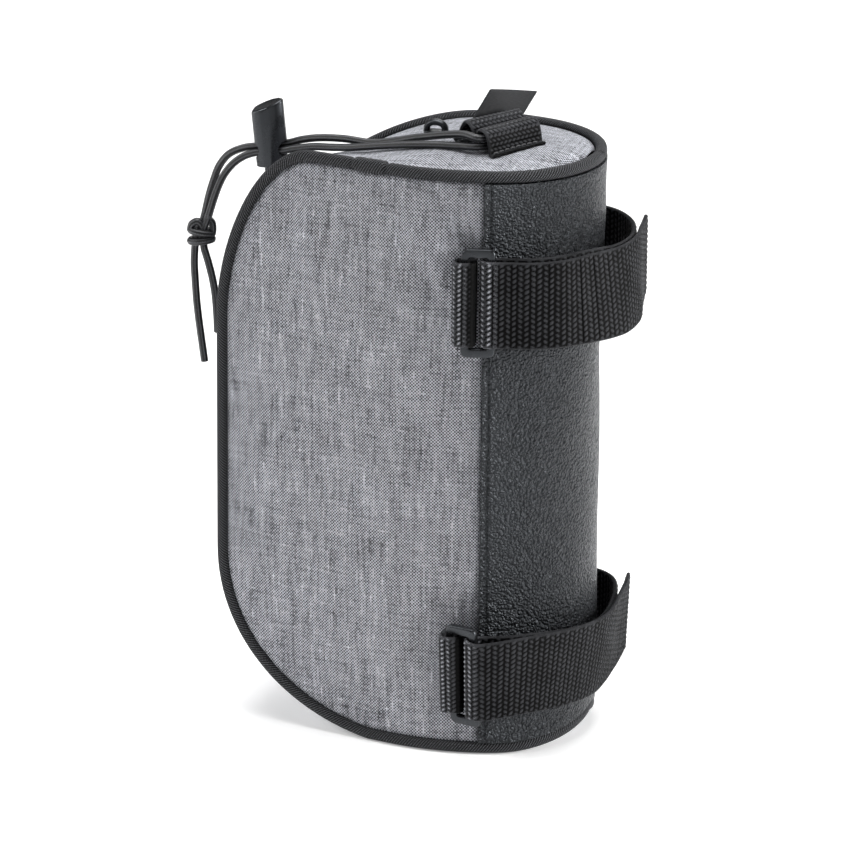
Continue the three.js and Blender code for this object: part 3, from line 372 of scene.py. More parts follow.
def stations(first):
    """Rows along the seam: over the top, down the front and back underneath."""
    quarter = np.linspace(0, math.pi / 2, SEAM_STEPS["corner"])
    corner_at = WRAP_REACH - TOP_CORNER_NEAR["run"]
    over = np.concatenate([
        np.linspace(first, ZIP["start"], SEAM_STEPS["top"]),
        np.linspace(ZIP["start"], corner_at, SEAM_STEPS["zip"])[1:],
        WRAP_REACH - TOP_CORNER_NEAR["run"] * (1 - np.sin(quarter[1:])),
    ])
    under = np.concatenate([
        WRAP_REACH - BOTTOM_CORNER["run"] * (1 - np.cos(quarter)),
        np.linspace(WRAP_REACH - BOTTOM_CORNER["run"], first, SEAM_STEPS["top"])[1:],
    ])
    near_top, far_top = top_edge(over, TOP_CORNER_NEAR), top_edge(over, TOP_CORNER_FAR)
    low = bottom_edge(under)
    fronts = np.linspace(0, 1, SEAM_STEPS["front"])[1:-1]
    order = np.arange(len(over) + len(fronts) + len(under))
    return {
        "along": np.concatenate([over, np.full(len(fronts), WRAP_REACH), under]),
        "near": np.concatenate([near_top, near_top[-1] + (low[0] - near_top[-1]) * fronts, low]),
        "far": np.concatenate([far_top, far_top[-1] + (low[0] - far_top[-1]) * fronts, low]),
        "underneath": order >= len(over) + len(fronts),
        "on_top": order < len(over),
    }


def table_value(table, along):
    return np.interp(along, [row[0] for row in table], [row[1] for row in table])


def gusset_rows():
    """Middle, directions, width, crown and length of the gusset at each row of the seam."""
    rows = stations(GUSSET_START)
    near = wrap_point(rows["along"], -GUSSET_INSET, rows["near"])
    far = wrap_point(-rows["along"], -GUSSET_INSET, rows["far"])
    under = rows["underneath"]
    middle = (near + far) / 2
    across = unit(near - far)
    zip_from = np.where(under, ZIP["finish"], ZIP["start"] - ZIP["slack"])
    bottom_crown, top_crown = (table_value(table, rows["along"]) for table in (BOTTOM_CROWN, TOP_CROWN))
    return {
        **rows,
        "middle": middle,
        "across": across,
        "half": np.linalg.norm(near - far, axis=1) / 2,
        "crown": np.where(under, bottom_crown, top_crown),
        "drop": np.where(under, table_value(BOTTOM_DROP, rows["along"]), 0.0),
        "onward": tangents(middle),
        "out": unit(np.cross(tangents(middle), across)),
        "length": arc_lengths(middle),
        "zipped": rows["along"] >= zip_from,
    }


GUSSET = gusset_rows()


def gusset_point(index, sideways, off):
    """Points over the gusset at whole or part rows, a distance beside its middle and off the cloth."""
    index, sideways, off = np.broadcast_arrays(np.asarray(index, float), sideways, off)
    low = np.clip(np.floor(index).astype(int), 0, len(GUSSET["along"]) - 2)
    part = (index - low)[..., None]

    def at(row):
        ratio = np.minimum(1, np.abs(sideways) / GUSSET["half"][row])
        rise = GUSSET["drop"][row] + GUSSET["crown"][row] * (1 - ratio ** CROWN_POWER) + off
        beside = GUSSET["middle"][row] + GUSSET["across"][row] * sideways[..., None]
        return beside + GUSSET["out"][row] * rise[..., None]

    return at(low) * (1 - part) + at(low + 1) * part


def gusset_top(x, y):
    """Height of the gusset's cloth over a place on the top."""
    tops = np.flatnonzero(GUSSET["on_top"])
    index = np.interp(-np.asarray(y, float), -GUSSET["middle"][tops, 1], tops)
    return gusset_point(index, np.asarray(x, float), 0.0)[..., 2]


def dent_depth(along, up, dents):
    """Sum of the soft dents and swellings of a table."""
    total = np.zeros(np.broadcast(along, up).shape)
    for at, height, lean, length, width, depth in dents:
        turn = math.radians(lean)
        lengthwise = (along - at) * math.cos(turn) + (up - height) * math.sin(turn)
        crosswise = (up - height) * math.cos(turn) - (along - at) * math.sin(turn)
        total = total + depth * np.exp(-(crosswise / width) ** 2 - (lengthwise / length) ** 2)
    return total


def new_piece(name, points, faces, thread=None, relief=None):
    """Mesh piece in the row frame, from millimetres, with its thread and relief kept on the points."""
    mesh = bpy.data.meshes.new(name)
    mesh.from_pydata(placed(points).tolist(), [], faces)
    if thread is not None:
        flat = np.column_stack([np.asarray(thread, float).reshape(-1, 2), np.zeros(len(mesh.vertices))])
        mesh.attributes.new("thread", "FLOAT_VECTOR", "POINT").data.foreach_set("vector", flat.ravel())
    if relief is not None:
        heights = np.asarray(relief, float).ravel()
        mesh.attributes.new("relief", "FLOAT", "POINT").data.foreach_set("value", heights)
    mesh.polygons.foreach_set("use_smooth", np.ones(len(mesh.polygons), bool))
    mesh.update()
    piece = bpy.data.objects.new(name, mesh)
    bpy.context.scene.collection.objects.link(piece)
    return piece


def grid_faces(rows, columns, keep=None):
    faces = []
    for row in range(rows - 1):
        for column in range(columns - 1):
            if keep is None or keep[row, column]:
                corner = row * columns + column
                faces.append((corner, corner + 1, corner + columns + 1, corner + columns))
    return faces


def loft_faces(rings, size, looped=False):
    """Faces between rings of points, closed by a cap at each end or looped back to the first ring."""
    faces = []
    for ring in range(rings if looped else rings - 1):
        here, there = ring * size, (ring + 1) % rings * size
        for k in range(size):
            turn = (k + 1) % size
            faces.append((here + k, here + turn, there + turn, there + k))
    if not looped:
        faces.append(tuple(range(size))[::-1])
        faces.append(tuple(range((rings - 1) * size, rings * size)))
    return faces


def outward(piece):
    """Turns the faces of a closed piece outwards and keeps its hard edges crisp."""
    mesh = piece.data
    co = np.array([v.co for v in mesh.vertices])
    mesh.calc_loop_triangles()
    corners = np.array([t.vertices for t in mesh.loop_triangles])
    volume = np.einsum("ij,ij->i", co[corners[:, 0]], np.cross(co[corners[:, 1]], co[corners[:, 2]])).sum()
    if volume < 0:
        mesh.flip_normals()
    mesh.set_sharp_from_angle(angle=CRISP_ANGLE)
    return piece


def baked_in(piece):
    """Applies a piece's modifiers to its mesh."""
    bpy.context.view_layer.update()
    graph = bpy.context.evaluated_depsgraph_get()
    mesh = bpy.data.meshes.new_from_object(piece.evaluated_get(graph))
    piece.modifiers.clear()
    piece.data = mesh
    return piece


def thickened(piece, thick):
    """A cloth face given its wall, inwards."""
    solid = piece.modifiers.new("wall", "SOLIDIFY")
    solid.thickness = thick * MM
    solid.offset = -1
    solid.use_even_offset = False
    return baked_in(piece)


def dressed(piece, finish, slot, *nodes):
    """Gives a piece its finish, hangs it on the root and hides the solids it stands for."""
    piece.data.materials.clear()
    piece.data.materials.append(finish)
    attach(piece, "root")
    if nodes:
        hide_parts(*nodes)
    return piece


def cut_sheet(run, widths):
    """Area of the flat shape a cloth piece was cut to, from its run and its width along that run; the area is
    not used.
    """
    area = float(np.sum(np.diff(run) * (widths[1:] + widths[:-1]) / 2)) * MM * MM


class Wire:
    """A socket of a finish, whose arithmetic adds Math nodes."""

    def __init__(self, finish, socket):
        self.finish = finish
        self.socket = socket

    def math(self, operation, *values):
        return self.finish.node("Math", {"operation": operation}, dict(enumerate((self, *values))))

    def __add__(self, other):
        return self.math("ADD", other)

    def __sub__(self, other):
        return self.math("SUBTRACT", other)

    def __rsub__(self, other):
        return self.finish.node("Math", {"operation": "SUBTRACT"}, {0: other, 1: self})

    def __mul__(self, other):
        return self.math("MULTIPLY", other)

    def __truediv__(self, other):
        return self.math("DIVIDE", other)

    def __mod__(self, other):
        return self.math("FLOORED_MODULO", other)

    __radd__ = __add__
    __rmul__ = __mul__


class Finish:
    """A material being made: constants go on its shader's own sockets, and node() adds everything else."""

    def __init__(self, name, **constants):
        self.material = bpy.data.materials.new(name)
        self.material.use_nodes = True
        self.tree = self.material.node_tree
        self.shader = self.tree.nodes["Principled BSDF"]
        for words, value in constants.items():
            self.shader.inputs[words.replace("_", " ")].default_value = value

    def node(self, kind, settings=None, inputs=None, output=0):
        node = self.tree.nodes.new("ShaderNode" + kind)
        for name, value in (settings or {}).items():
            setattr(node, name, value)
        for name, value in (inputs or {}).items():
            if isinstance(value, Wire):
                self.tree.links.new(value.socket, node.inputs[name])
            else:
                node.inputs[name].default_value = value
        return Wire(self, node.outputs[output])

    def thread(self):
        """Distances in millimetres along and across the piece's thread."""
        vector = self.node("Attribute", {"attribute_name": "thread"}, output="Vector")
        return [self.node("SeparateXYZ", inputs={0: vector}, output=axis) for axis in (0, 1)]

    def relief(self):
        # On the webbing this relief is scaled by painted shine.
        return self.node("Attribute", {"attribute_name": "relief"}, output="Fac")

    def vector(self, x, y, z=0.0):
        return self.node("CombineXYZ", inputs={0: x, 1: y, 2: z})

    def place(self):
        return self.node("TexCoord", output="Object")

    def noise(self, vector, scale, detail=2.0, roughness=0.5):
        inputs = {"Vector": vector, "Scale": scale, "Detail": detail, "Roughness": roughness}
        return self.node("TexNoise", inputs=inputs)

    def fitted(self, value, low, high, to_low=0.0, to_high=1.0):
        settings = {"interpolation_type": "SMOOTHSTEP"}
        return self.node("MapRange", settings, {0: value, 1: low, 2: high, 3: to_low, 4: to_high})

    def mixed(self, part, first, second):
        return self.node("Mix", {"data_type": "RGBA"}, {0: part, 6: first, 7: second}, output=2)

    def ribs(self, distance, pitch):
        """Even ribs a pitch apart, from 0 between them to 1 on top."""
        return (distance / pitch * (2 * math.pi)).math("SINE") * 0.5 + 0.5

    def bumped(self, height, distance, strength=1.0):
        return self.node("Bump", inputs={"Height": height, "Distance": distance, "Strength": strength})

    def shown(self, **wires):
        for words, wire in wires.items():
            self.tree.links.new(wire.socket, self.shader.inputs[words.replace("_", " ")])
        return self.material


GREY_GREEN, GREY_BLUE = 1.025, 1.115
COOL_GLOSS = (0.86, 0.92, 1.0, 1.0)


def grey(value):
    """A slightly cool grey."""
    return (value, value * GREY_GREEN, value * GREY_BLUE, 1.0)


# Melange cloth: the pitch of its yarns, its middle tone, and how far each kind of unevenness moves that tone
MELANGE = {
    "pitch": 0.7, "middle": 0.38, "checks": 0.95, "crossing": 0.4, "warp": 0.8, "weft": 0.6, "streak": 0.9,
    "warp_band": 1.3, "weft_band": 1.0, "slub": 0.6, "pick": 0.6,
}
CLOTH_DARK, CLOTH_PALE = grey(0.028), grey(0.465)


def melange_cloth():
    """Plain weave in dark and pale checks, uneven along its yarns, with pale slubs and picks."""
    finish = Finish("grey_melange_cloth", Roughness=0.9, Specular_IOR_Level=0.2)
    along, up = finish.thread()
    across, upward = along / MELANGE["pitch"], up / MELANGE["pitch"]
    warp, weft = across.math("FLOOR"), upward.math("FLOOR")
    over = (warp + weft) % 2.0
    warp_round = ((across - warp - 0.5) * math.pi).math("COSINE")
    weft_round = ((upward - weft - 0.5) * math.pi).math("COSINE")
    warp_high = over * warp_round * (0.6 + 0.4 * weft_round)
    high = warp_high + (1.0 - over) * weft_round * (0.5 + 0.4 * warp_round)
    crossing = finish.node("TexWhiteNoise", {"noise_dimensions": "2D"}, {"Vector": finish.vector(warp, weft)})
    # Each noise is drawn out along its yarns, and the last number of its place sets it apart from the others
    warp_run = finish.noise(finish.vector(warp * 7.3, up * 0.07, 3.0), 1.0, 2.0, 0.6)
    weft_run = finish.noise(finish.vector(along * 0.11, weft * 7.3, 9.0), 1.0, 2.0, 0.6)
    slub = finish.fitted(warp_run, 0.6, 0.76)
    pick = finish.fitted(weft_run, 0.64, 0.8)
    streak = finish.noise(finish.vector(along * 0.2, up * 0.04, 7.0), 1.0, 2.0)
    warp_band = finish.noise(finish.vector(along * 0.75, up * 0.05, 21.0), 1.0, 2.0)
    weft_band = finish.noise(finish.vector(along * 0.06, up * 0.75, 33.0), 1.0, 2.0)
    yarns = (crossing - 0.5) * MELANGE["crossing"] + (warp_run - 0.5) * MELANGE["warp"]
    yarns = yarns + (weft_run - 0.5) * MELANGE["weft"] + (streak - 0.5) * MELANGE["streak"]
    bands = (warp_band - 0.5) * MELANGE["warp_band"] + (weft_band - 0.5) * MELANGE["weft_band"]
    tone = MELANGE["middle"] + yarns + bands + slub * MELANGE["slub"] + pick * MELANGE["pick"]
    pale = finish.fitted(tone + (over - 0.5) * MELANGE["checks"], -0.05, 1.05)
    colour = finish.mixed(pale, CLOTH_DARK, CLOTH_PALE)
    return finish.shown(Base_Color=colour, Normal=finish.bumped(high, 0.15 * MM, 0.3))


def leatherette():
    """Black coated cloth with a fine pebbled grain that glints on its high points."""
    finish = Finish("black_leatherette", Specular_IOR_Level=0.47, Specular_Tint=COOL_GLOSS)
    place = finish.place()
    drift = finish.node("TexNoise", inputs={"Vector": place, "Scale": 420.0, "Detail": 1.0}, output="Color")
    drift = finish.node("VectorMath", {"operation": "SCALE"}, {0: drift, "Scale": 0.0011})
    warped = finish.node("VectorMath", {"operation": "ADD"}, {0: place, 1: drift})
    cells = {"Vector": warped, "Scale": 860.0, "Smoothness": 0.35}
    pebble = finish.node("TexVoronoi", {"feature": "SMOOTH_F1"}, cells)
    fine = finish.node("TexVoronoi", {"feature": "F1"}, {"Vector": warped, "Scale": 1500.0})
    crease = finish.noise(place, 260.0, 3.0, 0.6)
    high = 1.0 - pebble * 0.9 - fine * 0.22 + (crease - 0.5) * 0.7
    colour = finish.mixed(finish.fitted(high, 0.1, 0.8), grey(0.002), grey(0.018))
    roughness = finish.fitted(high, 0.1, 0.8, to_low=0.5, to_high=0.26)
    return finish.shown(Base_Color=colour, Roughness=roughness, Normal=finish.bumped(high, 1.9 * MM, 1.0))


def twill_binding():
    """Fine diagonal ribs of the folded edge tape."""
    finish = Finish("black_twill_binding", Roughness=0.55, Specular_IOR_Level=0.16)
    along, around = finish.thread()
    rib = finish.ribs(along + around * 0.8, 1.25)
    cross = finish.ribs(along - around * 1.4, 1.1)
    fuzz = finish.noise(finish.vector(along, around), 1.7, 3.0, 0.7)
    high = rib * 0.7 + cross * 0.3
    shown = finish.fitted(high + (fuzz - 0.5) * 1.2, 0.35, 1.1)
    colour = finish.mixed(shown, grey(0.002), grey(0.11))
    return finish.shown(Base_Color=colour, Normal=finish.bumped(high, 0.5 * MM, 1.0))


def coarse_webbing():
    """Thick woven webbing: fibre tone, painted shade in the pits between its floats, and painted glints where
    it bends.
    """
    sheen = {"Sheen_Weight": 0.08, "Sheen_Roughness": 0.25}
    finish = Finish("black_webbing", Roughness=0.5, Specular_IOR_Level=0.06, **sheen)
    along, across = finish.thread()
    relief = finish.relief()
    fibre = finish.noise(finish.vector(along * 0.5, across * 2.6), 1.6, 3.0, 0.7)
    patch = finish.noise(finish.vector(along * 0.08, across * 0.08), 1.0, 2.0)
    # Painted shade: the pits between the floats are darker than their crowns, under random fibre tone and
    # patches
    crown = finish.fitted(relief + (fibre - 0.5) * 0.6 + (patch - 0.5) * 0.5, 0.38, 1.05)
    # Painted glints where the painted shine lifts the relief
    painted_glint = finish.fitted(relief + (fibre - 0.5) * 2.2, 1.35, 2.0)
    colour = finish.mixed(crown, grey(0.0004), grey(0.036))
    colour = finish.mixed(painted_glint, colour, grey(0.42))
    return finish.shown(Base_Color=colour, Normal=finish.bumped(fibre, 0.25 * MM, 0.6))


def braided_elastic():
    """Sheathed elastic: a fine braid, with painted highlights along its lengthwise ribs."""
    finish = Finish("black_elastic", Roughness=0.4, Specular_IOR_Level=0.4)
    along, around = finish.thread()
    slant, pitch = 0.6, 0.9
    one_way = ((along + around * slant) / pitch * (2 * math.pi)).math("SINE")
    other_way = ((along - around * slant) / pitch * (2 * math.pi)).math("SINE")
    braid = one_way.math("MAXIMUM", other_way) * 0.5 + 0.5
    # Painted highlight lines on the crowns of the ribs
    rib = (around * (CORD_RIBS / CORD_RADIUS)).math("COSINE") * 0.5 + 0.5
    fuzz = finish.noise(finish.vector(along * 0.6, around), 1.5, 3.0, 0.7)
    pale = finish.fitted(rib * 0.8 + braid * 0.3 + (fuzz - 0.5), 0.3, 1.2)
    colour = finish.mixed(pale, grey(0.002), grey(0.075))
    return finish.shown(Base_Color=colour, Normal=finish.bumped(braid, 0.12 * MM, 0.6))


def moulded_plastic():
    """Satin black plastic with the faint texture of its mould."""
    finish = Finish("black_plastic", Specular_IOR_Level=0.5, Specular_Tint=COOL_GLOSS)
    place = finish.place()
    mould = finish.noise(place, 2600.0, 2.0)
    flow = finish.noise(place, 160.0, 2.0)
    colour = finish.mixed(flow, grey(0.005), grey(0.012))
    roughness = finish.fitted(flow + (mould - 0.5) * 0.4, 0.3, 0.7, to_low=0.24, to_high=0.36)
    return finish.shown(Base_Color=colour, Roughness=roughness, Normal=finish.bumped(mould, 0.05 * MM, 0.5))


def zip_nylon():
    """Woven zip tape and its nylon teeth."""
    finish = Finish("black_zip", Roughness=0.5, Specular_IOR_Level=0.35)
    along, across = finish.thread()
    rib, cord = finish.ribs(along, 0.8), finish.ribs(across, 1.1)
    fuzz = finish.noise(finish.vector(along, across), 2.0, 2.0)
    high = rib * 0.6 + cord * 0.4
    colour = finish.mixed(finish.fitted(high + (fuzz - 0.5) * 0.6, 0.1, 1.0), grey(0.003), grey(0.02))
    return finish.shown(Base_Color=colour, Normal=finish.bumped(high, 0.15 * MM, 0.5))


def label_satin():
    """Fine satin of the folded label, left bare."""
    finish = Finish("black_label", Roughness=0.5, Specular_IOR_Level=0.12)
    along, up = finish.thread()
    rib = finish.ribs(up, 0.5)
    float_yarn = finish.noise(finish.vector(along * 0.4, up * 4.0), 1.4, 2.0)
    colour = finish.mixed(finish.fitted(rib * 0.4 + float_yarn, 0.3, 1.1), grey(0.008), grey(0.028))
    return finish.shown(Base_Color=colour, Normal=finish.bumped(rib, 0.06 * MM, 0.5))


def sewing_thread():
    """Black thread of the stitches."""
    finish = Finish("black_thread", Roughness=0.45, Specular_IOR_Level=0.4)
    twist = finish.noise(finish.place(), 1800.0, 2.0)
    colour = finish.mixed(twist, grey(0.01), grey(0.05))
    return finish.shown(Base_Color=colour, Normal=finish.bumped(twist, 0.08 * MM, 0.5))


CLOTH = melange_cloth()
LEATHERETTE = leatherette()
BINDING = twill_binding()
WEB = coarse_webbing()
ELASTIC = braided_elastic()
PLASTIC = moulded_plastic()
ZIP_NYLON = zip_nylon()
LABEL_SATIN = label_satin()
THREAD = sewing_thread()


def wrap_panel(name, along, corner, bulge, dents, fold=0.0):
    """Cloth face on the wrap, swelling and dented, inset under the bound edge."""
    run = np.abs(along)[:, None]
    rise = np.linspace(0, 1, PANEL["rows"])[None, :]
    low, high = bottom_edge(run, PANEL_INSET), top_edge(run, corner, PANEL_INSET)
    up = low + (high - low) * rise
    lengthwise = np.sin(math.pi * share(run, BULGE["from"], WRAP_REACH - PANEL_INSET))
    swell = bulge * np.maximum(0, lengthwise * np.sin(math.pi * rise)) ** BULGE["power"]
    edge = smooth_share(np.minimum(up - low, high - up), 0, EDGE_EASE["rise"])
    edge = edge * smooth_share(WRAP_REACH - run, EDGE_EASE["front_from"], EDGE_EASE["front_to"])
    signed = np.broadcast_to(np.asarray(along)[:, None], up.shape)
    wave = PANEL_RIPPLE
    soft = wave["broad"] * np.sin(signed / wave["broad_run"] + 0.8) * np.sin(up / wave["broad_rise"] + 0.4)
    soft = soft + wave["fine"] * np.sin(signed / wave["fine_run"] + up / wave["fine_rise"])
    out = swell + edge * (dent_depth(np.abs(signed) if fold == 0 else signed, up, dents) + soft)
    fold_at = SEAM_AT - EDGE_FOLD["back_from_seam"]
    groove = np.exp(-((run - fold_at) / EDGE_FOLD["half_width"]) ** 2)
    out = out - fold * EDGE_FOLD["depth"] * groove
    points = wrap_point(signed, out, up)
    thread = np.stack([signed, up], axis=-1)
    faces = grid_faces(*up.shape)
    piece = new_piece(name, points.reshape(-1, 3), faces, thread)
    if along[0] < 0 or fold:
        piece.data.flip_normals()
    return thickened(piece, WALL)


def side_panel(side):
    """Grey side of the bag: 1 is the near one, with the rings, and -1 the far one."""
    quarter = np.linspace(0, math.pi / 2, PANEL["side_columns"])
    start, end = SEAM_AT + PANEL["seam_gap"], WRAP_REACH - PANEL_INSET
    along = side * (end - (end - start) * (1 - np.sin(quarter)))
    near = side > 0
    name = "side_panel_near" if near else "side_panel_far"
    corner = TOP_CORNER_NEAR if near else TOP_CORNER_FAR
    piece = wrap_panel(f"{name}_cloth", along, corner, BULGE["depth"], NEAR_DENTS if near else FAR_DENTS)
    dressed(piece, CLOTH, "cloth_grey", name)
    run = np.abs(along)
    cut_sheet(run, top_edge(run, corner) - bottom_edge(run))


def back_panel():
    """Black wrap round the back, with a groove by each of its seams."""
    along = np.linspace(-SEAM_AT + PANEL["seam_gap"], SEAM_AT - PANEL["seam_gap"], PANEL["back_columns"])
    piece = wrap_panel("back_panel_leatherette", along, TOP_CORNER_NEAR, 0.0, BACK_DENTS, fold=1.0)
    dressed(piece, LEATHERETTE, "leatherette_black", "back_panel")
    widths = top_edge(along, TOP_CORNER_NEAR) - bottom_edge(np.abs(along))
    cut_sheet(along, widths)


def gusset_cloth():
    """Grey strip over the top, front and bottom, slit along the zip."""
    half = GUSSET["half"][:, None]
    slot = np.minimum(ZIP["slot"] / 2, half / 3)
    right = slot + (half - slot) * np.linspace(0, 1, GUSSET_COLUMNS)[None, :]
    sideways = np.concatenate([-right[:, ::-1], right], axis=1)
    rows = np.arange(len(half))[:, None]
    edge = smooth_share(half - np.abs(sideways), 0, GUSSET_EASE["edge"])
    edge = edge * smooth_share(np.abs(sideways), GUSSET_EASE["slot_from"], GUSSET_EASE["slot_to"])
    length = GUSSET["length"][:, None]
    wave = GUSSET_RIPPLE
    soft = wave["fine"] * np.sin(length / wave["fine_run"] + sideways / wave["fine_side"])
    soft = soft + wave["broad"] * np.sin(length / wave["broad_run"] - sideways / wave["broad_side"] + 1.0)
    flat_foot = 1 - smooth_share(GUSSET["drop"][:, None], 0, RIM_BASE)
    points = gusset_point(rows, sideways, edge * soft * flat_foot)
    points[..., 2] = np.maximum(0.0, points[..., 2])
    keep = np.ones((len(half) - 1, sideways.shape[1] - 1), bool)
    zipped = GUSSET["zipped"]
    keep[zipped[:-1] & zipped[1:], GUSSET_COLUMNS - 1] = False
    thread = np.stack(np.broadcast_arrays(sideways, length), axis=-1)
    piece = new_piece("gusset_cloth", points.reshape(-1, 3), grid_faces(*sideways.shape, keep), thread)
    piece.data.flip_normals()
    dressed(thickened(piece, WALL), CLOTH, "cloth_grey", "gusset")
    cut_sheet(GUSSET["length"], 2 * GUSSET["half"])


def piping_bead():
    """Folded edge tape round the whole seam, with the lap where its two ends meet."""
    seam = stations(0.0)
    along = np.concatenate([seam["along"], -seam["along"][-2:0:-1]])
    up = np.concatenate([seam["near"], seam["far"][-2:0:-1]])
    on_top = np.concatenate([seam["on_top"], seam["on_top"][-2:0:-1]])
    centre = wrap_point(along, -PIPING["sink"], up)
    onward = unit(unit(np.roll(centre, -1, 0) - centre) + unit(centre - np.roll(centre, 1, 0)))
    _, _, out_x, out_y = wrap_plan(along)
    out = np.stack([out_x, out_y, np.zeros(len(along))], axis=-1)
    out = unit(out - onward * np.sum(out * onward, axis=1, keepdims=True))
    side = np.cross(onward, out)
    turn = np.arange(PIPING["sides"]) * 2 * math.pi / PIPING["sides"]
    begun = smooth_share(along, LAP["from"] - LAP["edge"], LAP["from"])
    ended = smooth_share(along, LAP["to"], LAP["to"] + LAP["edge"])
    creases = sum(np.exp(-((along - LAP[end]) / LAP["edge"]) ** 2) for end in ("from", "to"))
    lap = LAP["swell"] * begun * (1 - ended) - LAP["crease"] * creases
    radius = PIPING["flat"] * (PIPING["full"] + lap * on_top)[:, None]
    power = PIPING["squareness"]
    squarish = (np.abs(np.cos(turn)) ** power + np.abs(np.sin(turn)) ** power) ** (-1 / power)
    ring = radius * squarish[None, :]
    outwards, sidewards = (ring * np.cos(turn))[..., None], (ring * np.sin(turn))[..., None]
    points = centre[:, None] + out[:, None] * outwards + side[:, None] * sidewards
    points[..., 2] = np.maximum(0.0, points[..., 2])
    closed = np.vstack([centre, centre[:1]])
    length = arc_lengths(closed)[:-1]
    around = ((turn + math.pi) % (2 * math.pi) - math.pi) * PIPING["flat"]
    thread = np.stack(np.broadcast_arrays(length[:, None], around[None, :]), axis=-1)
    faces = loft_faces(len(along), PIPING["sides"], True)
    piece = new_piece("piping_tape", points.reshape(-1, 3), faces, thread)
    dressed(outward(piece), BINDING, "binding_black", "piping")


def weave_relief(along, across, weave):
    """Height of the webbing's floats, from 0 in the pits to 1 on the crowns; they slant by turns."""
    column = np.floor(along / weave["column"])
    middle = along / weave["column"] - column - 0.5
    odd = column % 2
    shifted = across / weave["row"] + FLOAT["slant"] * middle * (1 - 2 * odd) + 0.5 * odd
    row = shifted - np.floor(shifted) - 0.5
    long_way = np.clip(1 - np.abs(2 * middle) ** FLOAT["column_power"], 0, 1)
    oval = long_way * np.clip(1 - np.abs(2 * row) ** FLOAT["row_power"], 0, 1)
    return oval ** FLOAT["crown_power"]


def band(name, bottom, top, thick, weave, painted_shine):
    """Webbing between two edge lines: rounded selvedge, weave on both faces, and painted shine along its
    path.
    """
    path = (bottom + top) / 2
    width = np.linalg.norm(top - bottom, axis=1)
    columns = max(BAND_COLUMNS["least"], int(round(width.max() / (weave["row"] / BAND_COLUMNS["per_row"]))))
    part = np.linspace(0, 1, columns)
    across = part[None, :] * width[:, None]
    along = np.broadcast_to(arc_lengths(path)[:, None], across.shape)
    normal = unit(np.cross(tangents(path), unit(top - bottom)))
    base = bottom[:, None] + (top - bottom)[:, None] * part[None, :, None]
    inset = np.minimum(across, width[:, None] - across)
    turned_in = 1 - np.clip(inset / (thick * SELVEDGE["rounding"]), 0, 1)
    rounding = np.sqrt(np.clip(1 - turned_in ** 2, 0, 1))
    selvedge = smooth_share(inset, SELVEDGE["from"], SELVEDGE["to"])
    relief = weave_relief(along, across, weave) * selvedge + SELVEDGE["level"] * (1 - selvedge)
    half = (thick / 2 * rounding + (relief - FLOAT["middle"]) * weave["height"] * rounding)[..., None]
    outer = base + normal[:, None] * half
    inner = (base - normal[:, None] * half)[:, -2:0:-1]
    rings = np.concatenate([outer, inner], axis=1)
    thread = np.stack([along, across], axis=-1)
    thread = np.concatenate([thread, thread[:, -2:0:-1]], axis=1)
    # The relief kept on the points for the colour is scaled by the painted shine; the shape is not
    both = np.concatenate([relief, relief[:, -2:0:-1]], axis=1) * painted_shine[:, None]
    faces = loft_faces(rings.shape[0], rings.shape[1])
    return outward(new_piece(name, rings.reshape(-1, 3), faces, thread, both))


def ring_frame(strap):
    """Directions of a strap's ring, its middle and its rear bar; the front bar lies in the tab."""
    ring = strap["ring"]
    along = RING["along"] + ring["forward"]
    span = RING["width"] - RING["bar"]
    _, _, out_x, out_y = (float(value) for value in wrap_plan(along))
    slope = ring["lean"] / WEBBING["width"]
    upright = np.array((out_x * slope, out_y * slope, math.sqrt(1 - slope ** 2)))
    turn = math.asin(ring["lift"] / span)
    reach = np.array((-out_y, out_x, 0.0)) * math.cos(turn) + np.array((out_x, out_y, 0.0)) * math.sin(turn)
    reach = unit(reach - upright * np.dot(reach, upright))
    front = wrap_point(along + span / 2, RING["off"] + ring["lean"] / 2, strap["middle"])
    return reach, upright, np.cross(reach, upright), front + reach * span / 2, front + reach * span


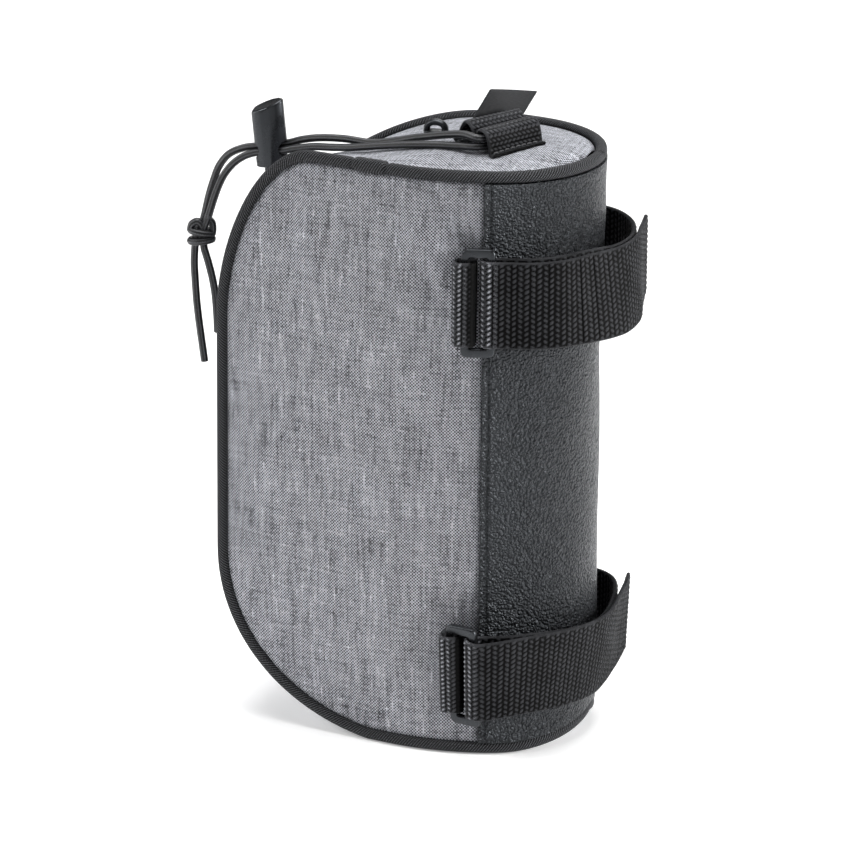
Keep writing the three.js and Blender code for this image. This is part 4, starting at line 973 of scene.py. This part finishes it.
def strap_band(name, strap):
    """Strap from the far seam round the back, through its ring and back over itself."""
    reach, upright, face, _, rear_bar = ring_frame(strap)
    half = WEBBING["width"] / 2

    def edges(middle, rise):
        return np.stack([middle - rise, middle + rise], axis=1)

    def at_rows(rows):
        angle, radius, lift, lean = np.array(rows, float).T[..., None]
        out = np.hstack([np.sin(np.radians(angle)), np.cos(np.radians(angle)), np.zeros_like(angle)])
        up = np.array((0, 0, 1))
        rise = out * lean / 2 + up * np.sqrt(half ** 2 - (lean / 2) ** 2)
        return edges(out * radius + up * (strap["middle"] + lift), rise)

    def at_bar(rearward, off):
        return edges(rear_bar + reach * rearward[:, None] + face * off[:, None], upright * half)

    turn = np.linspace(-math.pi / 2, math.pi / 2, FOLD["steps"] + 1)
    fold = at_bar(-FOLD["shift"] - FOLD["radius"] * np.cos(turn), FOLD["radius"] * np.sin(turn))
    over_bar = at_bar(np.array([RING["bar"] - FOLD["shift"]]), np.array([FOLD["radius"]]))
    inner = np.concatenate([at_rows(strap["inner"]), fold[:1]])
    outer = np.concatenate([fold[-1:], over_bar, at_rows(strap["outer"])])
    lines = [
        np.vstack([smooth_path(inner[:, edge])[:-1], fold[:, edge], smooth_path(outer[:, edge])[1:]])
        for edge in (0, 1)
    ]
    both = even_path(np.hstack(lines), WEBBING["step"] * math.sqrt(2))
    low, high = both[:, :3], both[:, 3:]
    length = arc_lengths((low + high) / 2)
    near_end = (1 - share(length[-1] - length, 0, TIP_REACH)) ** 2
    low[:, 2] += strap["heel"] * near_end
    high[:, 2] += strap["tip"] * near_end
    # Painted shine, strongest round the bend at the ring
    from_bend = np.linalg.norm((low + high) / 2 - fold[FOLD["steps"] // 2].mean(axis=0), axis=1)
    fade = smooth_share(from_bend, PAINTED_BEND_SHINE["from"], PAINTED_BEND_SHINE["to"])
    painted_shine = PAINTED_BEND_SHINE["most"] - PAINTED_BEND_SHINE["fade"] * fade
    piece = band(f"strap_{name}_webbing", low, high, WEBBING["thick"], STRAP_WEAVE, painted_shine)
    dressed(piece, WEB, "webbing_black", f"strap_{name}")


def ring_tab(name, strap):
    """Webbing loop sewn into the seam, round the front bar of a ring."""
    ring = strap["ring"]
    along, out = even_path(smooth_path(TAB_PATH, per_span=12), TAB_STEP).T
    follows = np.maximum(share(along, *TAB_FOLLOWS["along"]), share(out, *TAB_FOLLOWS["out"]))
    ahead = ring["forward"] * follows
    leaning = ring["lean"] * TAB_WIDTH / WEBBING["width"] * share(out, *TAB_LEANS)
    low = strap["middle"] - TAB_WIDTH / 2
    bottom = wrap_point(along + ahead, out, np.full(len(along), low))
    top = wrap_point(along + ahead, out + leaning, np.full(len(along), low + TAB_WIDTH))
    # Painted shine where the tab turns round the bar, and painted shade that darkens its tucked end
    turned = share(along, *TAB_PAINTED_SHINE["along"]) * share(out, *TAB_PAINTED_SHINE["out"])
    to_end = arc_lengths((bottom + top) / 2)
    painted_shine = (1 + TAB_PAINTED_SHINE["gain"] * turned) * smooth_share(to_end[-1] - to_end, *TAB_PAINTED_DARK_END)
    piece = band(f"ring_tab_{name}_webbing", bottom, top, TAB_THICK, TAB_WEAVE, painted_shine)
    dressed(piece, WEB, "webbing_black", f"ring_tab_{name}")


def rounded_loop(width, height, corner, per_corner=10):
    """Outline of a rectangle with round corners."""
    points = []
    for sx, sy, start in ((1, 1, 0), (-1, 1, 0.5), (-1, -1, 1), (1, -1, 1.5)):
        for turn in np.linspace(start * math.pi, (start + 0.5) * math.pi, per_corner):
            points.append((
                sx * (width / 2 - corner) + corner * math.cos(turn),
                sy * (height / 2 - corner) + corner * math.sin(turn),
            ))
    return np.array(points)


def moulded_ring(name, strap):
    """Rectangular ring with eased edges, thicker at its two ends."""
    outside = rounded_loop(RING["width"], RING["height"], RING["corner"])
    hole_width, hole_height = RING["width"] - 2 * RING["bar"], RING["height"] - 2 * RING["end_bar"]
    inside = rounded_loop(hole_width, hole_height, RING["inner_corner"])
    inward = unit(inside - outside)
    half, ease = RING["thick"] / 2, RING["ease"]
    turns = np.linspace(math.pi / 2, 0, RING["ease_steps"])
    eased = [(ease * (1 - math.sin(turn)), half - ease * (1 - math.cos(turn))) for turn in turns]
    rows = [(outside + inward * depth, level) for depth, level in eased]
    rows += [(inside - inward * depth, level) for depth, level in eased[::-1]]
    rows += [(inside - inward * depth, -level) for depth, level in eased]
    rows += [(outside + inward * depth, -level) for depth, level in eased[::-1]]
    tilt = strap["ring"]["tilt"]
    reach, upright, face, middle, _ = ring_frame(strap)
    rings = []
    for flat, level in rows:
        x = flat[:, 0] * math.cos(tilt) - flat[:, 1] * math.sin(tilt)
        y = flat[:, 0] * math.sin(tilt) + flat[:, 1] * math.cos(tilt)
        rings.append(middle + reach * x[:, None] + upright * y[:, None] + face * level)
    rings = np.array(rings).transpose(1, 0, 2)
    faces = loft_faces(rings.shape[0], rings.shape[1], True)
    piece = outward(new_piece(f"ring_{name}_moulding", rings.reshape(-1, 3), faces))
    dressed(piece, PLASTIC, "plastic_black", f"ring_{name}")


def keeper_point(lengthwise, across, height):
    """Points by their place along and across the keeper, and their height over the gusset."""
    turn = KEEPER["turn"]
    x = KEEPER["x"] + lengthwise * math.cos(turn) - across * math.sin(turn)
    y = KEEPER["y"] + lengthwise * math.sin(turn) + across * math.cos(turn)
    return np.stack(np.broadcast_arrays(x, y, gusset_top(x, y) + KEEPER["clear"] + height), axis=-1)


def keeper_webbing():
    """Webbing sewn down on the top in two humps."""
    arch = even_path(smooth_path(KEEPER_ARCH, per_span=16), KEEPER_STEP)
    lift = KEEPER["thick"] / 2
    slope = tangents(arch)
    across, height = arch[:, 0] - slope[:, 1] * lift, arch[:, 1] + slope[:, 0] * lift
    start = keeper_point(np.zeros(len(arch)), across, height)
    end = keeper_point(np.full(len(arch), KEEPER["width"]), across, height)
    # Painted shine on the crests of the humps
    painted_shine = 1 + KEEPER_PAINTED_SHINE["gain"] * smooth_share(arch[:, 1], KEEPER_PAINTED_SHINE["from"], KEEPER_PAINTED_SHINE["to"])
    piece = band("cord_keeper_webbing", start, end, KEEPER["thick"], KEEPER_WEAVE, painted_shine)
    dressed(piece, WEB, "webbing_black", "cord_keeper")


def label_cloth():
    """Folded label that stands up behind the keeper, with its side edge turned in."""
    end = np.linspace(0, 1, LABEL["columns"])[None, :, None]
    rise = np.linspace(0, 1, LABEL["rows"])[:, None, None]
    across = np.full(2, LABEL["across"])
    foot = keeper_point(np.array(LABEL["foot_ends"]), across, LABEL["foot"])
    top = keeper_point(np.array(LABEL["top_ends"]), across, 0.0)
    top[:, 2] = LABEL["high_ends"]
    plan = (foot[0] * (1 - end) + foot[1] * end) * (1 - rise) + (top[0] * (1 - end) + top[1] * end) * rise
    height = float(np.linalg.norm(top[0] - foot[0]))
    turn = KEEPER["turn"]
    face = np.array((-math.sin(turn), math.cos(turn), 0.0))
    bow = LABEL["bow"] * np.sin(math.pi * end) * rise ** 2
    length = LABEL["length"]
    strip = smooth_share(end * length, length - LABEL["strip_from"], length - LABEL["strip_to"])
    fold = np.minimum((1 - rise) * height, LABEL["fold"])
    half = LABEL["thick"] / 2 * np.sqrt(np.clip(1 - (1 - fold) ** 2, 0, 1))
    half = half - LABEL["strip_sink"] * strip + LABEL["least_half"]
    rings = np.concatenate([plan + face * (bow - half), (plan + face * (bow + half))[:, ::-1]], axis=1)
    thread = np.concatenate(np.broadcast_arrays(end * length, rise * height), axis=-1)
    thread = np.concatenate([thread, thread[:, ::-1]], axis=1)
    piece = new_piece("label_tab_cloth", rings.reshape(-1, 3), loft_faces(*rings.shape[:2]), thread)
    dressed(outward(piece), LABEL_SATIN, "label_black", "label_tab")
    cut_sheet(np.array((0.0, length)), np.full(2, height))


def tube_rings(path, radius, sides, ribs=0.0):
    """Rings of a round cord along a path, without twist."""
    onward = tangents(path)
    normal = np.zeros_like(path)
    start = np.cross(onward[0], TUBE_START)
    for index, direction in enumerate(onward):
        start = start - direction * np.dot(start, direction)
        start = start / np.linalg.norm(start)
        normal[index] = start
    side = np.cross(onward, normal)
    turn = np.arange(sides) * 2 * math.pi / sides
    swell = radius * (1 + ribs * np.cos(CORD_RIBS * turn))
    around = normal[:, None] * np.cos(turn)[None, :, None] + side[:, None] * np.sin(turn)[None, :, None]
    rings = path[:, None] + around * swell[None, :, None]
    thread = np.stack(np.broadcast_arrays(arc_lengths(path)[:, None], (turn * radius)[None, :]), axis=-1)
    return rings, thread


def cord_path(name):
    """Middle line of a cord; the two strands start inside the keeper."""
    height = {"cord_near": CHANNEL["near"], "cord_far": CHANNEL["far"]}.get(name)
    route = np.array(ROUTES[name], float)
    if height is not None:
        run = np.linspace(CHANNEL["deep"], CHANNEL["mouth"], CHANNEL["points"])
        route = np.vstack([keeper_point(run, np.full(len(run), CHANNEL["across"]), height), route])
    return even_path(smooth_path(route, per_span=14), CORD_STEP)


def cord_strand(name):
    """One ribbed stretch of the elastic along its route."""
    path = cord_path(name)
    rings, thread = tube_rings(path, CORD_RADIUS, CORD_SIDES, CORD_RIB_HEIGHT)
    faces = loft_faces(*rings.shape[:2])
    piece = outward(new_piece(f"{name}_elastic", rings.reshape(-1, 3), faces, thread.reshape(-1, 2)))
    dressed(piece, ELASTIC, "elastic_black", name)


def merged_lofts(name, parts):
    """One piece from several closed tubes."""
    points, faces, threads = [], [], []
    for rings, thread in parts:
        shift = sum(len(block) for block in points)
        faces += [tuple(corner + shift for corner in face) for face in loft_faces(*rings.shape[:2])]
        points.append(rings.reshape(-1, 3))
        threads.append(thread.reshape(-1, 2))
    return outward(new_piece(name, np.vstack(points), faces, np.vstack(threads)))


def cord_knot():
    """Overhand knot: the two strands run down through two flat turns, with a lobe on either shoulder."""
    middle = np.array((KNOT["x"], KNOT["y"], KNOT["z"]))
    azimuth = math.radians(CAMERA["azimuth"])
    rightward = np.array((math.cos(azimuth), math.sin(azimuth), 0.0))
    forward = np.array((math.sin(azimuth), -math.cos(azimuth), 0.0))

    def strand(points):
        line = np.asarray(points, float)
        line = middle + rightward * line[:, :1] + forward * line[:, 1:2] + np.array((0, 0, 1)) * line[:, 2:]
        return even_path(smooth_path(line, per_span=12), KNOT["step"])

    def flat_turn(level, slope):
        turn = np.linspace(*KNOT_TURN["ends"], KNOT_TURN["points"])
        across = KNOT_TURN["shift"] + KNOT_TURN["across"] * np.cos(turn)
        deep = KNOT_TURN["deep"] * np.sin(turn)
        return strand(np.stack([across, deep, level + slope * np.cos(turn)], axis=1))

    lines = [
        strand([(-4.1, 0.6, 1.4), (-3.2, 1.6, 4.2), (-0.8, 2.0, 5.4), (1.0, 1.6, 3.0), (1.0, 1.2, 0.0)]),
        strand([(3.2, 0.4, 6.4), (5.2, 1.0, 4.6), (5.6, 1.0, 1.8), (5.2, 0.4, -0.8)]),
        flat_turn(0.4, -0.8),
        flat_turn(-3.4, 0.5),
    ]
    for above, below in (("cord_near", "cord_tail_side"), ("cord_far", "cord_tail_front")):
        top, bottom = np.array(ROUTES[above][-2:], float), np.array(ROUTES[below][:2], float)
        start = top[1] + (top[0] - top[1]) * KNOT["tuck"]
        end = bottom[0] + (bottom[1] - bottom[0]) * KNOT["tuck"]
        inside = middle * 0.5 + (top[1] + bottom[0]) * 0.25
        lines.append(even_path(smooth_path([start, top[1], inside, bottom[0], end]), KNOT["step"]))
    parts = [tube_rings(line, CORD_RADIUS * KNOT["slim"], KNOT["sides"], CORD_RIB_HEIGHT) for line in lines]
    piece = merged_lofts("cord_knot_elastic", parts)
    return dressed(piece, ELASTIC, "elastic_black", "cord_knot")


def lock_outline(size, count=48):
    """Almond outline of the lock, rounded at its corners."""
    near = [(half, fore) for fore, half in LOCK_PLAN]
    far = [(-half, fore) for fore, half in LOCK_PLAN[::-1]]
    corners = np.array([*near, *far, near[0]], float)
    path = even_path(corners, LOCK["outline_step"])[:-1]
    for _ in range(LOCK["smoothings"]):
        path = (np.roll(path, 1, 0) + 2 * path + np.roll(path, -1, 0)) / 4
    closed = np.vstack([path, path[:1]])
    return even_path(closed, arc_lengths(closed)[-1] / count)[:-1] * size


def lock_ring(size, level, slant):
    """The lock's outline at a level, slanted."""
    flat = lock_outline(size)
    tilt = slant * LOCK["tilt_share"]
    return np.column_stack([flat, level + flat[:, 1] * math.tan(slant) - flat[:, 0] * math.tan(tilt)])


def lock_placed(points):
    lean = np.array(Matrix.Rotation(LOCK["lean"], 3, "X"))
    return points @ lean.T + np.array((LOCK["x"], LOCK["y"], LOCK["z"]))


def lock_piece(name, rings):
    rings = np.array([lock_placed(ring) for ring in rings])
    return outward(new_piece(name, rings.reshape(-1, 3), loft_faces(*rings.shape[:2])))


def cord_lock():
    """Almond-shaped barrel with a slanted top and a way through for the cords, on its plunger."""
    ease, height, slant = LOCK["ease"], LOCK["height"], LOCK["slant"]
    shrink = ease / LOCK["half_length"]
    turns = np.linspace(0, math.pi / 2, LOCK["ease_steps"])
    foot = [lock_ring(1 - shrink * (1 - math.sin(t)) * 0.5, ease * 0.5 * (1 - math.cos(t)), 0) for t in turns]
    head = [
        lock_ring(1 - shrink * (1 - math.cos(t)), height - ease * (1 - math.sin(t)), slant)
        for t in turns
    ]
    dish = [lock_ring(size, height - depth, slant) for size, depth in LOCK_DISH]
    barrel = lock_piece("cord_lock_barrel_moulding", [*foot, *head, *dish])
    way = rounded_loop(LOCK["way_wide"], LOCK["way_high"], LOCK["way_corner"])
    cutter = lock_piece("cord_way", [
        np.column_stack([way[:, 0], np.full(len(way), y), way[:, 1] + LOCK["way_up"]])
        for y in (-LOCK["way_reach"], LOCK["way_reach"])
    ])
    bore_levels = (-LOCK["bore_below"], LOCK["way_up"])
    bore = lock_piece("plunger_bore", [lock_ring(LOCK["bore"], level, 0) for level in bore_levels])
    for tool in (cutter, bore):
        cut = barrel.modifiers.new(tool.name, "BOOLEAN")
        cut.operation = "DIFFERENCE"
        cut.solver = "EXACT"
        cut.object = tool
    baked_in(barrel)
    barrel.data.set_sharp_from_angle(angle=LOCK["crisp"])
    for tool in (cutter, bore):
        bpy.data.objects.remove(tool)
    dressed(barrel, PLASTIC, "plastic_black", "cord_lock_barrel")
    slim, foot_at = LOCK["bore"] - LOCK["bore_gap"], -LOCK["foot"]
    foot_ring = (slim * LOCK["foot_taper"], foot_at)
    levels = [foot_ring, (slim, foot_at + LOCK["foot_ease"]), (slim, LOCK["shaft"])]
    plunger = lock_piece("cord_lock_plunger_moulding", [lock_ring(size, level, 0) for size, level in levels])
    dressed(plunger, PLASTIC, "plastic_black", "cord_lock_plunger")
    return [barrel, plunger]


def zip_tape():
    """Tape under the slit of the gusset."""
    rows = np.flatnonzero(GUSSET["zipped"])
    sideways = np.linspace(-TAPE["width"] / 2, TAPE["width"] / 2, TAPE["columns"])
    off = -WALL - TAPE["below"]
    points = gusset_point(rows[:, None], sideways[None, :], off)
    thread = np.stack(np.broadcast_arrays(GUSSET["length"][rows][:, None], sideways[None, :]), axis=-1)
    faces = grid_faces(len(rows), len(sideways))
    piece = new_piece("zip_tape_cloth", points.reshape(-1, 3), faces, thread)
    piece.data.flip_normals()
    dressed(thickened(piece, TAPE["thick"]), ZIP_NYLON, "zip_black", "zip_tape")
    cut_sheet(GUSSET["length"][rows], np.full(len(rows), TAPE["width"]))


def zip_teeth():
    """Interlocked nylon teeth from one end of the zip to the other."""
    rows = np.flatnonzero(GUSSET["zipped"])
    length = GUSSET["length"][rows]
    parts = []
    turn = np.arange(TOOTH["sides"]) * math.pi / (TOOTH["sides"] / 2)
    past, sizes, drops = np.array(TOOTH_SECTIONS).T
    first, last = length[0] + TOOTH["end_gap"], length[-1] - TOOTH["end_gap"]
    for count, at in enumerate(np.arange(first, last, TOOTH["pitch"] / 2)):
        index = np.interp(at, length, rows)
        row = int(round(index))
        side = 1 if count % 2 else -1
        centre = gusset_point(np.full(len(past), index), past * side, -TOOTH["sunk"] - drops)
        onward, out = GUSSET["onward"][row], GUSSET["out"][row]
        ring = onward * np.cos(turn)[:, None] * TOOTH["flat"] + out * np.sin(turn)[:, None]
        rings = centre[:, None] + ring[None] * (sizes * TOOTH["thick"])[:, None, None]
        thread = np.stack(np.broadcast_arrays(np.full(len(past), at)[:, None], turn[None, :]), axis=-1)
        parts.append((rings, thread))
    piece = merged_lofts("zip_coil_teeth", parts)
    dressed(piece, ZIP_NYLON, "zip_black", "zip_coil")


def zip_slider():
    """Slider: a tapered plate and its arched bail."""
    on_top = GUSSET["on_top"]
    index = np.interp(SLIDER["along"], GUSSET["along"][on_top], np.flatnonzero(on_top))
    row = int(round(float(index)))
    centre = gusset_point(index, 0.0, SLIDER["off"])
    onward, across, out = GUSSET["onward"][row], GUSSET["across"][row], GUSSET["out"][row]
    half, wide = SLIDER["length"] / 2, SLIDER["width"] / 2
    tail, nose = (-half, 0.0), (half, 0.0)
    flank = [(-half + 0.6, wide * 0.55), (-1, wide * 0.7), (half - 2.4, wide), (half - 0.5, wide * 0.92)]
    other_flank = [(x, -y) for x, y in flank[::-1]]
    outline = smooth_path([tail, *flank, nose, *other_flank, tail], per_span=6)[:-1]
    plate = SLIDER["plate"]
    levels = ((0.92, 0.0), (1.0, 0.35), (1.0, plate - 0.5), (0.9, plate), (0.5, plate + 0.1))
    rings = np.array([
        centre + onward * outline[:, :1] * size + across * outline[:, 1:] * size + out * level
        for size, level in levels
    ])
    thread = np.zeros((*rings.shape[:2], 2))
    turn = np.linspace(0, math.pi, SLIDER["bail_steps"])
    reach = (half - SLIDER["bail_inset"]) * np.cos(turn)
    rise = plate - SLIDER["bail_sink"] + SLIDER["bail"] * np.sin(turn) ** SLIDER["bail_power"]
    arch = centre + onward * reach[:, None] + out * rise[:, None]
    bail, bail_thread = tube_rings(arch, SLIDER["wire"], SLIDER["bail_sides"])
    widen = np.sum((bail - arch[:, None]) * across, axis=-1, keepdims=True) * across
    bail = bail + widen * SLIDER["bail_widen"]
    piece = merged_lofts("zip_slider_moulding", [(rings, thread), (bail, bail_thread)])
    dressed(piece, PLASTIC, "plastic_black", "zip_slider")


def stitches(name, path, normal):
    """Row of stitches laid along a line on the webbing."""
    length, radius = STITCH["length"], STITCH["radius"]
    parts = []
    run = arc_lengths(path)
    for start in np.arange(STITCH["first"], run[-1] - length, length + STITCH["gap"]):
        at = start + np.linspace(0, length, STITCH["steps"])
        line = np.stack([np.interp(at, run, path[:, axis]) for axis in range(3)], axis=1)
        arch = np.sin(np.linspace(0, math.pi, STITCH["steps"]))[:, None] ** 0.5
        parts.append(tube_rings(line + normal * radius * (arch - STITCH["sink"]), radius, STITCH["sides"]))
    dressed(merged_lofts(name, parts), THREAD, "webbing_black")


def keeper_stitches():
    """The rows that sew the keeper down."""
    for name, across, height in STITCH_ROWS:
        run = np.linspace(STITCH_MARGIN, KEEPER["width"] - STITCH_MARGIN, STITCH_POINTS)
        path = keeper_point(run, np.full(len(run), across), height + KEEPER["thick"] + STITCH_LIFT)
        stitches(f"cord_keeper_stitches_{name}", path, np.array((0, 0, 1.0)))


def photo_camera():
    """Camera at the photograph's angle, distance and framing."""
    elevation, azimuth = math.radians(CAMERA["elevation"]), math.radians(CAMERA["azimuth"])
    roll = math.radians(CAMERA["roll"])
    flat = math.cos(elevation)
    back = Vector((math.sin(azimuth) * flat, -math.cos(azimuth) * flat, math.sin(elevation)))
    level = Vector((0, 0, 1)).cross(back).normalized()
    upright = back.cross(level)
    right = level * math.cos(roll) + upright * math.sin(roll)
    up = upright * math.cos(roll) - level * math.sin(roll)
    scale = CAMERA["pixels_per_mm"] / MM
    aim = Vector(placed(FOCUS))
    aim -= right * ((FOCUS_PIXEL[0] - IMAGE_SIDE / 2) / scale)
    aim += up * ((FOCUS_PIXEL[1] - IMAGE_SIDE / 2) / scale)
    lens = bpy.data.cameras.new("photo_camera")
    lens.sensor_width = SENSOR_MM
    lens.sensor_fit = "HORIZONTAL"
    lens.lens = CAMERA["pixels_per_mm"] * CAMERA["distance"] * SENSOR_MM / IMAGE_SIDE
    lens.clip_end = VIEW_DEPTH
    camera = bpy.data.objects.new("photo_camera", lens)
    camera.matrix_world = Matrix((
        (right.x, up.x, back.x, 0), (right.y, up.y, back.y, 0), (right.z, up.z, back.z, 0), (0, 0, 0, 1),
    ))
    camera.location = aim + back * CAMERA["distance"] * MM
    bpy.context.scene.collection.objects.link(camera)
    bpy.context.scene.camera = camera


def studio_light():
    """Soft lights round the bag and an even white world."""
    for name, place, size, power, target in LIGHTS:
        lamp = bpy.data.lights.new(name, "AREA")
        lamp.size = size
        lamp.energy = power
        holder = bpy.data.objects.new(name, lamp)
        holder.location = place
        holder.rotation_euler = (Vector(target) - Vector(place)).to_track_quat("-Z", "Y").to_euler()
        bpy.context.scene.collection.objects.link(holder)
    world = bpy.data.worlds.new("studio")
    world.use_nodes = True
    background = world.node_tree.nodes["Background"]
    background.inputs["Color"].default_value = WHITE
    background.inputs["Strength"].default_value = WORLD_STRENGTH
    bpy.context.scene.world = world
    bpy.context.scene.view_settings.view_transform = "Standard"


def studio_floor():
    """Pale floor with painted light: it glows round the bag and lifts the shadow cast near it."""
    finish = Finish("pale_floor", Base_Color=FLOOR_PALE, Roughness=0.8, Emission_Strength=FLOOR["painted_glow"])
    # Painted light: emission that fades out away from the bag
    away = finish.node("VectorMath", {"operation": "LENGTH"}, {0: finish.place()}, "Value")
    painted_glow_fade = finish.fitted(away, FLOOR["glow_from"], FLOOR["glow_to"])
    finish.shown(Emission_Color=finish.mixed(painted_glow_fade, WHITE, BLACK))
    mesh = bpy.data.meshes.new("floor")
    side = FLOOR["half_side"]
    corners = [(-side, -side, 0), (side, -side, 0), (side, side, 0), (-side, side, 0)]
    mesh.from_pydata(corners, [], [(0, 1, 2, 3)])
    floor = bpy.data.objects.new("floor", mesh)
    floor.location.z = -FLOOR["below"]
    mesh.materials.append(finish.material)
    bpy.context.scene.collection.objects.link(floor)


photo_camera()
studio_light()
studio_floor()
lock_pieces = cord_lock()
knot_piece = cord_knot()
cord_strand("cord_near")
cord_strand("cord_far")
cord_strand("cord_tail_front")
cord_strand("cord_tail_side")
side_panel(1)
side_panel(-1)
back_panel()
gusset_cloth()
piping_bead()
zip_tape()
zip_teeth()
zip_slider()
for strap_name, strap_rows in STRAPS.items():
    strap_band(strap_name, strap_rows)
    moulded_ring(strap_name, strap_rows)
    ring_tab(strap_name, strap_rows)
keeper_webbing()
keeper_stitches()
label_cloth()

bpy.context.view_layer.update()
